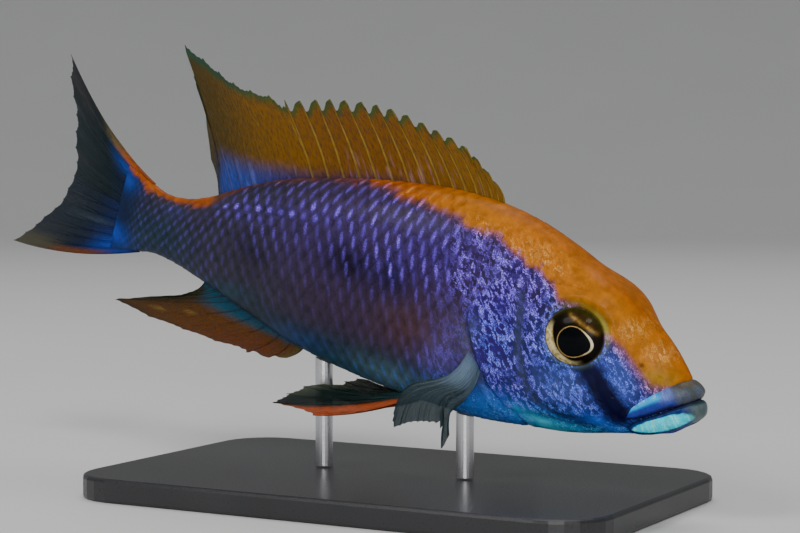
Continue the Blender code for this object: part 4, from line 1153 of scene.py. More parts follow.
eyes = [eye_piece(-1, "right"), eye_piece(1, "left")]

# %% [markdown]
# A fin is one thin web with its rays raised in both faces. Its columns crowd beside each ray,
# where the ridge needs them. A spine is a plain taper, and a soft ray splits twice on its way to
# the margin. Between two spines the margin falls back from one tip and steps up at the next.

# %% A web with rays
RAY_FAN = np.array([0, 0.04, 0.09, 0.15, 0.21, 0.27, 0.34, 0.42, 0.5, 0.58, 0.66, 0.73, 0.79, 0.85,
                    0.91, 0.96])
WEB_HALF, RAY_THICK, SOFT_RAY_THICK, PECTORAL_RAY_THICK = 0.00009, 0.00022, 0.00024, 0.00008
SUNK = 0.0014 / STANDARD_LENGTH


def along_rays(values, order):
    """Smooth values between rays, for each coordinate."""
    values = np.asarray(values, float)
    return np.stack([smooth(order, np.arange(len(values)), values[:, k]) for k in range(3)], 1)


def ray_ridges(part, width, v, spiny, thick):
    """Height of the ridges: a half circle round each spine, and round each branch of a soft ray."""
    height = np.zeros(np.broadcast_shapes(part.shape, v.shape))
    stem = thick * (1 - 0.62 * v)
    first = np.where(spiny, 0, 0.24) * fade(v, 0.30, 0.95)
    second = np.where(spiny, 0, 0.115) * fade(v, 0.62, 1.0)
    for near in (part, 1 - part):
        for a in (-1, 1):
            for b in (-1, 1):
                away = np.abs(near - a * first - b * second) * width
                radius = stem * (1 - 0.30 * (first > 0.02) - 0.2 * (second > 0.02)) * 1.15
                height = np.maximum(height, np.sqrt(np.clip(1 - (away / radius) ** 2, 0, 1)) * radius)
    return height


def web_fin(name, node, roots, tips, bow, notch, spines, thick, paint, slot, rows=44, wave=0.0,
            sweep=None):
    """A closed web over the rays' grid: root, tip and bow blended by v and 4v(1 - v).

    A sweep is added by sin(2 pi v). The fall is how far the margin drops between two rays: a
    finger behind each spine, then a steep edge, and a shallow bay between soft rays.
    """
    count = len(roots)
    order = np.append((np.arange(count - 1)[:, None] + RAY_FAN).ravel(), count - 1.0)
    part = order - np.minimum(np.floor(order), count - 2)
    root, tip, bend = (along_rays(values, order) for values in (roots, tips, bow))
    deep = np.interp(order, np.arange(count), notch)
    spiny = order < spines - 1 + 1e-9
    finger = 0.22 * fade(part, 0.0, 0.4) + 0.78 * fade(part, 0.30, 0.80)
    finger = finger * fade(part, 1.0, 0.90)
    bay = np.sin(np.pi * part) ** 0.8 + 0.35 * np.sin(4 * np.pi * part) ** 2
    fall = deep * np.where(spiny, finger, bay)
    tip = tip + (root - tip) * fall[:, None]
    v = np.linspace(0, 1, rows)[None] ** 0.92
    w = v[..., None]
    grid = root[:, None] * (1 - w) + tip[:, None] * w + bend[:, None] * 4 * w * (1 - w)
    if sweep is not None:
        grid = grid + along_rays(sweep, order)[:, None] * np.sin(2 * np.pi * w)
    normal = np.cross(np.gradient(grid, axis=0), np.gradient(grid, axis=1))
    normal /= np.maximum(np.linalg.norm(normal, axis=2, keepdims=True), 1e-12)
    root_at, tip_at = (along_rays(values, np.arange(count))[:, None] for values in (roots, tips))
    rays = root_at * (1 - w) + tip_at * w
    widths = np.linalg.norm(np.diff(rays, axis=0), axis=2)
    width = widths[np.minimum(np.floor(order).astype(int), count - 2)]
    ray, apart = order[:, None], part[:, None]
    ridge = ray_ridges(apart, width, v, spiny[:, None], thick)
    sway = wave * v * (np.sin(ray * 1.9 + 2.2 * v) + 0.35 * np.sin(np.pi * apart))
    sway = sway * fade(count - 1 - ray, 0.0, 1.5)
    grid = grid + normal * sway[..., None]
    half = (WEB_HALF * (1 - 0.5 * v) + ridge)[..., None]
    points = np.concatenate([grid + normal * half, grid - normal * half]).reshape(-1, 3)
    columns, size = len(order), len(order) * rows
    near = grid_faces(columns, rows)
    far = size + near[:, ::-1]
    edge = np.concatenate([np.arange(columns) * rows, (columns - 1) * rows + np.arange(1, rows),
                           np.arange(columns - 2, -1, -1) * rows + rows - 1,
                           np.arange(rows - 2, 0, -1)])
    after = np.roll(edge, -1)
    rim = np.stack([edge, after, after + size, edge + size], 1)
    obj = new_piece(name, points, np.concatenate([near, far, rim]), sharp_deg=70)
    mark = np.clip(ridge / (thick * 0.5), 0, 1)
    length = np.linalg.norm(tip - root, axis=1)[:, None] / 0.001
    inks, clear = paint(*np.broadcast_arrays(ray / (count - 1), v, apart, mark))
    web = np.stack(np.broadcast_arrays(v, mark, clear), -1)
    lay = np.stack(np.broadcast_arrays(ray, v * length, 0.0), -1)
    for label, values in (("ink", inks), ("web", web), ("lay", lay)):
        store(obj, label, np.concatenate([values, values]).reshape(-1, 3))
    return belongs(obj, slot, node)


print("columns from ray to ray", len(RAY_FAN))

# %% [markdown]
# The dorsal and the anal fin stand on the midline of the body. Their stiff spines come first and
# their branched soft rays behind. Roots, tips and the bow between them are the solids' own, so
# each web lies where its solid lies. A fin's inks go by s, the share from the first ray to the
# last, v, the share from root to margin, part, the place between two rays, and ray, 1 on a ridge.

# %% Dorsal and anal fins
DORSAL_ROOTS = [0.362, 0.368, 0.377, 0.387, 0.400, 0.418, 0.438, 0.461, 0.487, 0.513, 0.541, 0.569,
                0.597, 0.625, 0.652, 0.680, 0.708, 0.736, 0.762, 0.786, 0.808, 0.824, 0.834,
                0.842, 0.848, 0.852]
DORSAL_TIPS = [(0.378, 0.197), (0.398, 0.212), (0.419, 0.226), (0.442, 0.238), (0.466, 0.246),
               (0.492, 0.251), (0.519, 0.256), (0.547, 0.261), (0.575, 0.264), (0.603, 0.264),
               (0.631, 0.262), (0.659, 0.258), (0.687, 0.253), (0.714, 0.246), (0.741, 0.238),
               (0.770, 0.232), (0.805, 0.231), (0.842, 0.230), (0.878, 0.233), (0.915, 0.241),
               (0.955, 0.252), (0.998, 0.262), (0.972, 0.231), (0.938, 0.195), (0.911, 0.153),
               (0.888, 0.108)]
ANAL_ROOTS = np.linspace(0.640, 0.842, 11)
ANAL_TIPS = [(0.664, -0.141), (0.697, -0.151), (0.738, -0.156), (0.800, -0.158), (0.868, -0.162),
             (0.944, -0.167), (1.020, -0.166), (0.984, -0.150), (0.945, -0.136), (0.908, -0.123),
             (0.880, -0.109)]


def midline_grid(share, tips, stations, heights, bow_back):
    """Roots along the back or belly, sunk a little, with tips and bows as the solids have them."""
    share, tips = np.array(share), np.array(tips)
    height = smooth(share, stations, heights)
    roots = in_model(share, height - np.sign(height) * SUNK)
    ends = in_model(tips[:, 0], tips[:, 1])
    middle = in_model((share + tips[:, 0]) / 2 - bow_back, (height + tips[:, 1]) / 2)
    return roots, ends, middle - in_model((share + tips[:, 0]) / 2, (height + tips[:, 1]) / 2)


def dorsal_paint(s, v, part, ray):
    """Orange in front to olive-brown behind, blue along the rear base, green at the margin."""
    paint = painted(flat_ink(s.shape, 120, 82, 6), (
        ((108, 64, 5), bell((s - 0.45) / 0.22, 1) * 0.8),
        ((70, 56, 22), fade(s, 0.62, 0.86)),
        ((56, 52, 62), fade(s, 0.84, 0.97) * fade(v, 0.75, 0.35) * 0.8)))
    streaks = grain(np.stack([s * 150, v * 5], -1), 1.0, 21)
    paint = laid(paint, ink(150, 112, 116), fade(streaks, 0.62, 0.84) * fade(v, 0.60, 0.25)
                 * fade(s, 0.62, 0.40) * fade(s, 0.06, 0.16) * 0.5)
    top = 0.10 + 0.16 * fade(s, 0.42, 0.95)
    base = fade(v, top + 0.14, top - 0.10) * fade(s, 0.30, 0.45)
    blue = laid(flat_ink(s.shape, 26, 18, 74), ink(34, 64, 150), fade(s, 0.55, 0.85))
    paint = painted(paint, (
        (laid(blue, ink(84, 104, 196), fade(streaks, 0.60, 0.85) * 0.5), base * 0.85),
        ((52, 62, 80), fade(s, 0.90, 1.0) * fade(v, 0.9, 0.4)),
        ((40, 78, 30), fade(v, 0.88, 0.99) * fade(s, 0.98, 0.85) * 0.8),
        ((30, 66, 62), fade(v, 0.90, 1.0) * fade(s, 0.60, 0.80) * 0.7)))
    spine = fade(s, 0.66, 0.58)
    paint = painted(paint, (
        ((178, 152, 52), ray * (0.25 + 0.45 * v) * spine),
        ((68, 50, 22), ray * (1 - spine) * 0.25),
        ((62, 36, 8), bell((part - 0.93) / 0.06, 1) * spine * 0.5)))
    return paint, np.clip(0.93 + 0.07 * ray - 0.10 * v, 0, 1)


def anal_paint(s, v, part, ray):
    """Turquoise at the base, dusky orange beyond, with two faint egg spots towards the rear."""
    paint = painted(flat_ink(s.shape, 84, 48, 5), (
        ((92, 40, 4), bell((s - 0.22) / 0.16, 1) * fade(v, 0.4, 0.7) * 0.7),
        ((32, 34, 10), fade(s, 0.45, 0.80)),
        ((18, 70, 92), fade(v, 0.46, 0.24)),
        ((16, 44, 92), fade(v, 0.2, 0.02) * 0.7),
        ((84, 74, 26), fade(s, 0.10, 0.0) * 0.8),
        ((26, 26, 22), fade(v, 0.90, 1.0) * fade(s, 0.3, 0.6) * 0.7)))
    for at, up in ((0.52, 0.60), (0.55, 0.80)):
        spot = fade(np.hypot((s - at) / 0.020, (v - up) / 0.042), 1.5, 0.4) * 0.35
        paint = laid(paint, ink(134, 112, 48), spot)
    return laid(paint, ink(60, 38, 8), ray * 0.25), np.clip(0.94 + 0.06 * ray - 0.08 * v, 0, 1)


fins = []
for name, roots, tips, body_line, bow, spines, fall, paint in (
        ("dorsal", DORSAL_ROOTS, DORSAL_TIPS, (BACK_STATIONS, BACK_HEIGHTS), 0.006, 16, 0.13, dorsal_paint),
        ("anal", ANAL_ROOTS, ANAL_TIPS, (BELLY_STATIONS, BELLY_HEIGHTS), 0.010, 3, 0.10, anal_paint)):
    notch = np.where(np.arange(len(roots)) < spines, fall, 0.03)
    fins.append(web_fin(name + "_web", name + "_fin", *midline_grid(roots, tips, *body_line, bow), notch,
                        spines, RAY_THICK, paint, name + "_membrane", wave=0.0002))

# %% [markdown]
# The tail fin is two lobes that meet at a shallow fork. Each is a web of its own, as each solid
# is, and the last ray of both is the same one, so that no gap opens between them.

# %% Tail fin
UPPER_LOBE_TIPS = [(1.282, 0.169), (1.262, 0.136), (1.243, 0.108), (1.227, 0.082), (1.213, 0.057),
                   (1.202, 0.033), (1.194, 0.010)]
LOWER_LOBE_TIPS = [(1.312, -0.172), (1.288, -0.148), (1.262, -0.124), (1.240, -0.102),
                   (1.221, -0.080), (1.206, -0.058), (1.196, -0.036)]
CAUDAL_MIDDLE, CAUDAL_FORK = -0.021, (1.190, -0.012)


def upper_tail_paint(s, v, part, ray):
    """Orange along the upper edge, bright blue at the base, dusky grey-green beyond."""
    paint = painted(flat_ink(s.shape, 12, 30, 36), (
        ((14, 28, 62), fade(v, 0.60, 0.15)),
        ((24, 68, 160), fade(v, 0.56, 0.24) * bell((s - 0.24) / 0.16, 1) * 0.85),
        ((176, 84, 6), fade(s, 0.16, 0.07) * fade(v, 0.50, 0.30)),
        # Pale streak halfway out along the orange edge: a painted highlight.
        ((112, 96, 52), fade(s, 0.16, 0.06) * bell((v - 0.42) / 0.12, 1) * 0.8),
        ((30, 32, 34), fade(s, 0.3, 0.1) * fade(v, 0.55, 0.80))))
    clear = np.clip(0.90 - 0.14 * fade(v, 0.4, 1) + 0.1 * ray, 0, 1)
    return laid(paint, ink(16, 22, 30), ray * 0.4), clear


def lower_tail_paint(s, v, part, ray):
    """Bright blue base running out to dark blue, with an orange-brown lower edge."""
    paint = painted(flat_ink(s.shape, 12, 28, 42), (
        ((12, 30, 84), fade(v, 0.70, 0.2)),
        ((20, 66, 168), fade(v, 0.52, 0.22) * bell((s - 0.24) / 0.20, 1) * 0.9),
        ((104, 54, 22), fade(s, 0.14, 0.04) * fade(v, 0.15, 0.40) * fade(v, 0.85, 0.65)),
        ((74, 70, 52), fade(s, 0.28, 0.10) * fade(v, 0.55, 0.85) * 0.9),
        ((60, 72, 84), bell((s - 0.62) / 0.05, 1) * bell((v - 0.55) / 0.25, 1) * 0.5)))
    clear = np.clip(0.90 - 0.14 * fade(v, 0.4, 1) + 0.1 * ray, 0, 1)
    return laid(paint, ink(14, 20, 34), ray * 0.4), clear


for word, tips, sag, edge, paint in (
        ("upper", UPPER_LOBE_TIPS, 0.018, BACK_HEIGHTS[-1], upper_tail_paint),
        ("lower", LOWER_LOBE_TIPS, 0.012, BELLY_HEIGHTS[-1], lower_tail_paint)):
    ends = np.array(tips + [CAUDAL_FORK])
    rays = len(ends)
    roots = in_model(0.995, np.linspace(edge, CAUDAL_MIDDLE, rays))
    drop = in_model(1.1, -sag) - in_model(1.1, 0.0)
    fins.append(web_fin("tail_web_" + word, "caudal_fin_" + word, roots, in_model(ends[:, 0], ends[:, 1]),
                        drop * np.linspace(1, 0, rays)[:, None], np.full(rays, 0.02), 0, SOFT_RAY_THICK,
                        paint, "caudal_membrane", rows=60, wave=0.0003))

# %% [markdown]
# The pectoral fin is a soft, nearly clear fan behind the gill cover, and the pelvic fin a dark
# one with an orange leading edge. Both come in pairs, so one loop builds each side as the mirror
# of the other. Their roots sink a little into the body, where the skin covers them.

# %% Pectoral and pelvic fins
PECTORAL_ROOTS = [(0.334, -0.018), (0.316, -0.046)]
PECTORAL_SWEEPS = (0.0011, 0.0007)
PECTORAL_POINT = 11
PECTORAL_TIPS = [(0.395, -0.130, 0.140), (0.394, -0.139, 0.140), (0.390, -0.147, 0.141),
                 (0.382, -0.142, 0.142), (0.374, -0.137, 0.143), (0.365, -0.132, 0.143),
                 (0.356, -0.129, 0.143), (0.347, -0.126, 0.143), (0.338, -0.124, 0.142),
                 (0.329, -0.123, 0.141), (0.321, -0.128, 0.140), (0.313, -0.154, 0.140),
                 (0.308, -0.138, 0.138)]
PELVIC_ROOTS = [(0.400, 0.030), (0.425, 0.018)]
PELVIC_TIPS = [(0.560, -0.192, 0.062), (0.631, -0.195, 0.066), (0.612, -0.175, 0.064),
               (0.590, -0.158, 0.056), (0.566, -0.147, 0.046), (0.540, -0.141, 0.036)]


def pectoral_paint(s, v, part, ray):
    """Whitish blue stem, then a clear grey-green web with fine dark rays."""
    paint = painted(flat_ink(s.shape, 50, 66, 72), (
        ((122, 146, 172), fade(v, 0.50, 0.12) * (0.45 + 0.55 * fade(s, 0.9, 0.3))),
        ((62, 96, 150), fade(v, 0.12, 0.0) * 0.6),
        ((92, 104, 108), bell((part - 0.5) / 0.22, 1) * 0.35),
        ((28, 46, 52), fade(v, 0.45, 0.85) * 0.8),
        ((20, 27, 32), ray * (0.25 + 0.45 * v))))
    return paint, np.clip(0.86 - 0.10 * fade(v, 0.3, 1.0) + 0.14 * ray, 0, 1)


def pelvic_paint(s, v, part, ray):
    """Orange leading edge, dark green web, turquoise towards the belly."""
    paint = painted(flat_ink(s.shape, 12, 30, 27), (
        ((16, 62, 66), fade(v, 0.45, 0.08)),
        ((150, 62, 12), fade(s, 0.22, 0.10) * fade(v, 0.05, 0.25)),
        ((84, 88, 64), fade(s, 0.3, 0.45) * fade(v, 0.8, 1.0) * 0.4)))
    return laid(paint, ink(9, 18, 16), ray * 0.4), np.clip(0.92 - 0.08 * v + 0.08 * ray, 0, 1)


def half_width_at(share, height):
    """Half the body's width at a height, from the superellipse of the lower half."""
    widest = smooth(share, SIDE_STATIONS, WIDEST_HEIGHTS)
    foot = smooth(share, BELLY_STATIONS, BELLY_HEIGHTS)
    wide = smooth(share, SIDE_STATIONS, HALF_WIDTHS)
    fall = np.clip((widest - height) / (widest - foot), 0, 1)
    return wide * (1 - fall**SECTION_POWER) ** (1 / SECTION_POWER)


def paired_fin(kind, side, word, roots, tips, lean, *rest, **more):
    """A fin at the side of the body, with the same lean for each of its rays."""
    tips = np.array(tips)
    ends = in_model(tips[:, 0], tips[:, 1], side * tips[:, 2])
    return web_fin(f"{kind}_web_{word}", f"{kind}_fin_{word}", roots, ends, np.tile(lean, (len(tips), 1)),
                   *rest, f"{kind}_membrane", **more)


pitch = math.radians(PITCH_DEG)
swing_way = np.array([math.cos(pitch) - math.sin(pitch), 0.0, -math.sin(pitch) - math.cos(pitch)])
for side, word in ((-1, "right"), (1, "left")):
    count = len(PECTORAL_TIPS)
    share, height = np.linspace(*PECTORAL_ROOTS, count).T
    roots = in_model(share, height, side * (half_width_at(share, height) - SUNK))
    beside = np.abs(np.arange(count) - PECTORAL_POINT) == 1
    fins.append(paired_fin("pectoral", side, word, roots, PECTORAL_TIPS, (0.0, side * 0.0018, 0.0),
                           np.where(beside, 0.10, 0.015), 0, PECTORAL_RAY_THICK,
                           pectoral_paint, wave=0.00015,
                           sweep=np.linspace(*PECTORAL_SWEEPS, count)[:, None] * swing_way))
    count = len(PELVIC_TIPS)
    share, aside = np.linspace(*PELVIC_ROOTS, count).T
    foot = smooth(share, BELLY_STATIONS, BELLY_HEIGHTS)
    widest = smooth(share, SIDE_STATIONS, WIDEST_HEIGHTS)
    out = aside / smooth(share, SIDE_STATIONS, HALF_WIDTHS)
    drop = (1 - out**SECTION_POWER) ** (1 / SECTION_POWER)
    roots = in_model(share, widest - (widest - foot) * drop + SUNK, side * aside)
    lean = (-0.0012 * math.sin(pitch), side * 0.0006, -0.0012 * math.cos(pitch))
    fins.append(paired_fin("pelvic", side, word, roots, PELVIC_TIPS, lean, np.full(count, 0.05), 1,
                           SOFT_RAY_THICK, pelvic_paint, wave=0.0003))

# %% [markdown]
# A finish is a graph of nodes. Written out node by node its formulas are hard to see, so a few
# helpers keep it short: one adds a node and links it, and one is a value whose + - * / signs
# each add a Math node.

# %% Helpers for finishes
def feed(tree, value, socket):
    """Links a socket to a value made by nodes, or sets it to a plain one."""
    value = getattr(value, "socket", value)
    if isinstance(value, bpy.types.NodeSocket):
        tree.links.new(value, socket)
    else:
        socket.default_value = value


def wire(tree, kind, inputs=None, **settings):
    """Adds a node with its settings, and feeds its inputs."""
    node = tree.nodes.new(kind)
    for key, value in settings.items():
        setattr(node, key, value)
    for key, value in (inputs or {}).items():
        feed(tree, value, node.inputs[key])
    return node


class Value:
    """A value made by nodes, which can be reckoned with like a number."""

    def __init__(self, socket):
        self.socket = socket

    def reckon(self, operation, *values, clamp=False):
        """The result of one Math node."""
        tree, inputs = self.socket.id_data, dict(enumerate(values))
        node = wire(tree, "ShaderNodeMath", inputs, operation=operation, use_clamp=clamp)
        return Value(node.outputs[0])

    def __add__(self, other):
        return self.reckon("ADD", self, other)

    def __sub__(self, other):
        return self.reckon("SUBTRACT", self, other)

    def __rsub__(self, other):
        return self.reckon("SUBTRACT", other, self)

    def __mul__(self, other):
        return self.reckon("MULTIPLY", self, other)

    def __truediv__(self, other):
        return self.reckon("DIVIDE", self, other)

    def ramp(self, low, high, to_low=0.0, to_high=1.0):
        """A smooth Map Range from low..high to to_low..to_high."""
        inputs = {"Value": self, "From Min": low, "From Max": high, "To Min": to_low, "To Max": to_high}
        node = wire(self.socket.id_data, "ShaderNodeMapRange", inputs, interpolation_type="SMOOTHSTEP")
        return Value(node.outputs["Result"])


def noise(tree, place, scale, detail, **more):
    """A noise texture's value."""
    inputs = {"Vector": place, "Scale": scale, "Detail": detail, **more}
    return Value(wire(tree, "ShaderNodeTexNoise", inputs).outputs[0])


def parts_of(tree, vector):
    """The three values of a vector."""
    return [Value(part) for part in wire(tree, "ShaderNodeSeparateXYZ", {0: vector}).outputs]


def scaled(tree, vector, amount):
    """A vector or colour times a value."""
    inputs = {0: vector, "Scale": amount}
    return wire(tree, "ShaderNodeVectorMath", inputs, operation="SCALE").outputs[0]


def blend_colour(tree, mask, under, over):
    """A Mix node between two colours."""
    return wire(tree, "ShaderNodeMix", {0: mask, 6: under, 7: over}, data_type="RGBA").outputs[2]


def toned(tree, colour, tone, amount):
    """Darkens and lightens a colour by a noise tone, within the amount."""
    return scaled(tree, colour, tone.ramp(0.3, 0.7, 1 - amount, 1 + amount * 0.5))


def solid_ink(red, green, blue):
    """An ink with the fourth value that a colour socket takes."""
    return (*ink(red, green, blue), 1)


def attribute(tree, name, output):
    """What the mesh keeps under a name, read as its Color, Vector or Fac."""
    return wire(tree, "ShaderNodeAttribute", attribute_name=name).outputs[output]


def object_place(tree):
    """The place on the model, in metres."""
    return wire(tree, "ShaderNodeTexCoord").outputs["Object"]


def new_group(name, inputs, outputs):
    """A shader node group with named sockets, with its values by name and its output node."""
    group = bpy.data.node_groups.new(name, "ShaderNodeTree")
    for way, sockets in (("INPUT", inputs), ("OUTPUT", outputs)):
        for label, kind in sockets.items():
            group.interface.new_socket(label, in_out=way, socket_type="NodeSocket" + kind)
    given = {out.name: Value(out) for out in wire(group, "NodeGroupInput").outputs}
    return group, given, wire(group, "NodeGroupOutput")


def place_group(tree, group, inputs):
    """Places a node group with its own values and gives what it puts out, by name."""
    node = wire(tree, "ShaderNodeGroup", inputs, node_tree=group)
    return {out.name: Value(out) for out in node.outputs}


def new_finish(name, **constants):
    """A material with one Principled shader whose constants are set on its own sockets."""
    mat = bpy.data.materials.new(name)
    mat.use_nodes = True
    shader = mat.node_tree.nodes["Principled BSDF"]
    for key, value in constants.items():
        shader.inputs[key.replace("_", " ")].default_value = value
    return mat, mat.node_tree, shader


def complete(tree, shader, values, height, strength, depth):
    """Feeds the shader's sockets, and its normal by a Bump node over a height."""
    bump = wire(tree, "ShaderNodeBump", {"Height": height, "Strength": strength, "Distance": depth})
    for key, value in {**values, "Normal": bump.outputs[0]}.items():
        feed(tree, value, shader.inputs[key])


def wear_finish(pieces, mat):
    """Gives each piece one material and no other."""
    for obj in pieces:
        obj.data.materials.clear()
        obj.data.materials.append(mat)
    print(mat.name, len(mat.node_tree.nodes), "nodes on", len(pieces), "pieces")

# %% [markdown]
# Living skin is never one colour. Tiny plates in it throw back violet, blue or turquoise light
# in crooked flecks. Painted flecks would need an image, so three node groups make them from
# noise: the shape of the flecks, the colours that they can take, and a fine grain. Each finish
# mixes them over the ink that the mesh already carries.

# %% Shared effects of the skin
def glint_colour_group():
    """Violet to turquoise by hue, pink then golden by warmth, and nearly white at a spark."""
    inputs = dict.fromkeys(("Hue", "Warmth", "Spark"), "Float")
    group, given, out = new_group("glint colours", inputs, {"Color": "Color"})
    cool = wire(group, "ShaderNodeValToRGB", {0: given["Hue"]})
    elements = cool.color_ramp.elements
    elements[0].color, elements[1].color = solid_ink(140, 96, 244), solid_ink(30, 214, 226)
    for place, colour in ((0.25, (108, 106, 252)), (0.5, (64, 128, 255)), (0.75, (36, 164, 244))):
        elements.new(place).color = solid_ink(*colour)
    warmth = given["Warmth"]
    tint = blend_colour(group, warmth.ramp(0.0, 0.75), cool.outputs["Color"], solid_ink(206, 128, 172))
    tint = blend_colour(group, warmth.ramp(0.80, 1.0), tint, solid_ink(250, 190, 96))
    tint = blend_colour(group, given["Spark"], tint, solid_ink(214, 208, 255))
    feed(group, tint, out.inputs["Color"])
    return group


def worm_group():
    """Crooked flecks: noise cut off above its middle, broken by specks, and faded in patches."""
    outputs = {"Worms": "Float", "Specks": "Float"}
    group, given, out = new_group("worm glints", {"Place": "Vector"}, outputs)
    band = noise(group, given["Place"], 1.0, 2.0, Roughness=0.55, Distortion=0.6).ramp(0.465, 0.550)
    specks = noise(group, given["Place"], 5.0, 2.0).ramp(0.44, 0.60)
    patch = noise(group, given["Place"], 0.33, 1.0).ramp(0.36, 0.54, 0.45, 1.0)
    feed(group, band * (specks * 0.95 + 0.22) * patch, out.inputs["Worms"])
    feed(group, specks, out.inputs["Specks"])
    return group


def grain_group():
    """A fine and a broad noise, for pores and slight unevenness."""
    inputs = {"Place": "Vector", "Size": "Float"}
    group, given, out = new_group("skin grain", inputs, {"Height": "Float", "Tone": "Float"})
    place = scaled(group, given["Place"], given["Size"])
    feed(group, noise(group, place, 1.0, 4.0, Roughness=0.65), out.inputs["Height"])
    feed(group, noise(group, place, 0.12, 2.0), out.inputs["Tone"])
    return group


GLINTS, WORMS, GRAIN = glint_colour_group(), worm_group(), grain_group()
print("node groups", [group.name for group in (GLINTS, WORMS, GRAIN)])

# %% [markdown]
# Bare skin and scales carry the same inks and glints, so one function makes both finishes. On
# bare skin the flecks lie free. On a scale most of the light comes from one upright streak
# near its rear edge, with a violet halo round it. The front of each scale is darker, partly its
# own pigment and partly painted shade under the edge of the scale in front.

# %% Finishes of skin and scales
WORM_TURN = (0, math.radians(66), 0)
WORM_SIZE = (0.00115, 0.00072, 0.00058)


def skin_finish(name, plates):
    """Skin or scales: the ink, with glints that are worm-like on skin and one streak a scale."""
    mat, tree, shader = new_finish(name, Coat_Roughness=0.16, Coat_Weight=0.04, IOR=1.40,
                                   Specular_IOR_Level=0.14)
    place, colour = object_place(tree), attribute(tree, "ink", "Color")
    strength, hue, warmth = parts_of(tree, attribute(tree, "glint", "Vector"))
    lie = wire(tree, "ShaderNodeMapping", {"Vector": place, "Rotation": WORM_TURN, "Scale": WORM_SIZE},
               vector_type="TEXTURE")
    worms = place_group(tree, WORMS, {"Place": lie.outputs[0]})
    grains = place_group(tree, GRAIN, {"Place": place, "Size": 5200.0})
    if plates:
        along, across, seed = parts_of(tree, attribute(tree, "plate", "Vector"))
        slant, wide, tall = parts_of(tree, attribute(tree, "streak", "Vector"))
        strong = Value(attribute(tree, "strong", "Fac"))
        u = (along - 0.78 + across * slant) / wide
        t = across / tall
        away = u.reckon("SQRT", u * u + t * t)
        lens = (away + (grains["Height"] - 0.5) * 2.4).ramp(1.10, 0.40)
        streak = lens * (worms["Specks"] * 0.80 + 0.40) * (seed.ramp(0.0, 1.0, 0.35, 1.20) * strong)
        pattern = streak.reckon("MAXIMUM", streak, worms["Worms"] * (1.30 - strong * 1.2))
        halo = away.ramp(2.1, 0.5) * strength * ((1.0 - warmth) * (strong * 0.50))
        # Darker front of each scale: partly pigment, partly painted shade under the scale in front.
        pigment_and_shade_pocket = 1.0 - strong * along.ramp(0.66, 0.42, 0.0, 0.24)
        colour = blend_colour(tree, halo, scaled(tree, colour, pigment_and_shade_pocket), solid_ink(58, 40, 120))
    else:
        pattern = worms["Worms"] + worms["Specks"] * 0.16
    mask = pattern.reckon("MULTIPLY", pattern, strength, clamp=True)
    spark = mask.ramp(0.45, 0.90) * grains["Height"].ramp(0.47, 0.58)
    tint = place_group(tree, GLINTS, {"Hue": hue, "Warmth": warmth, "Spark": spark * 0.50})
    colour = blend_colour(tree, mask, toned(tree, colour, grains["Tone"], 0.22), tint["Color"])
    complete(tree, shader, {"Base Color": colour, "Metallic": mask * 0.12,
                            "Roughness": mask.ramp(0.0, 1.0, 0.46, 0.34)},
             grains["Height"] + mask * 0.4, 0.35, 0.00006)
    return mat


wear_finish([skin], skin_finish("bare skin", plates=False))
wear_finish(coat, skin_finish("scale skin", plates=True))

# %% [markdown]
# Lips and eyes are wet and smooth, so their inks get only a fine grain and a thin coat, with a
# little metal where the mesh says that they shine.

# %% Finishes of lips and eyes
def shiny_finish(name, grain_size, bump_share, **constants):
    """Ink with a grain, and metal where the mesh says that it shines."""
    mat, tree, shader = new_finish(name, **constants)
    grains = place_group(tree, GRAIN, {"Place": object_place(tree), "Size": grain_size})
    colour = toned(tree, attribute(tree, "ink", "Color"), grains["Tone"], 0.2)
    shine = Value(attribute(tree, "shine", "Fac"))
    complete(tree, shader, {"Base Color": toned(tree, colour, grains["Height"], 0.25),
                            "Metallic": shine * 0.7,
                            "Roughness": grains["Tone"].ramp(0.3, 0.7, 0.34, 0.46)},
             grains["Height"], bump_share, 0.00005)
    return mat


wear_finish(lips, shiny_finish("moist lip", 6000.0, 0.35, Coat_Weight=0.06, Coat_Roughness=0.20,
                               IOR=1.40, Specular_IOR_Level=0.16))
wear_finish(eyes, shiny_finish("eye under gloss", 9000.0, 0.20, Coat_Weight=0.08, Coat_Roughness=0.10,
                               IOR=1.36, Specular_IOR_Level=0.05))

# %% [markdown]
# A fin's web is thin enough to let some light through, and its rays are made of short segments.
# Both follow the rays, so the pattern reads the place that the mesh keeps: rays counted from
# the first, and millimetres out from the root.

# %% Finish of the fins
def fin_finish(name):
    """A web that lets light through, with segment marks across its rays."""
    mat, tree, shader = new_finish(name, IOR=1.4, Coat_Weight=0.02, Coat_Roughness=0.2,
                                   Specular_IOR_Level=0.12)
    _, ray, clear = parts_of(tree, attribute(tree, "web", "Vector"))
    lay = attribute(tree, "lay", "Vector")
    fibre = wire(tree, "ShaderNodeMapping", {"Vector": lay, "Scale": (9.0, 0.7, 1.0)})
    fibres = noise(tree, fibre.outputs[0], 1.0, 3.0)
    _, millimetres, _ = parts_of(tree, lay)
    segment = millimetres.reckon("SINE", millimetres * 11.0).ramp(0.55, 0.95) * ray
    colour = toned(tree, attribute(tree, "ink", "Color"), fibres, 0.28)
    complete(tree, shader, {"Base Color": scaled(tree, colour, 1.0 - segment * 0.10),
                            "Alpha": clear * fibres.ramp(0.3, 0.6, 0.92, 1.0),
                            "Roughness": fibres.ramp(0.3, 0.7, 0.36, 0.5)},
             fibres - segment * 0.15, 0.25, 0.00008)
    return mat


wear_finish(fins, fin_finish("fin web"))

# %% [markdown]
# The stand is carried over from the solids. Its base is satin black plastic and its rods are
# brushed steel. One function makes both: noise stretched in one direction gives the brushing,
# and the same noise unstretched gives the plastic's fine texture.

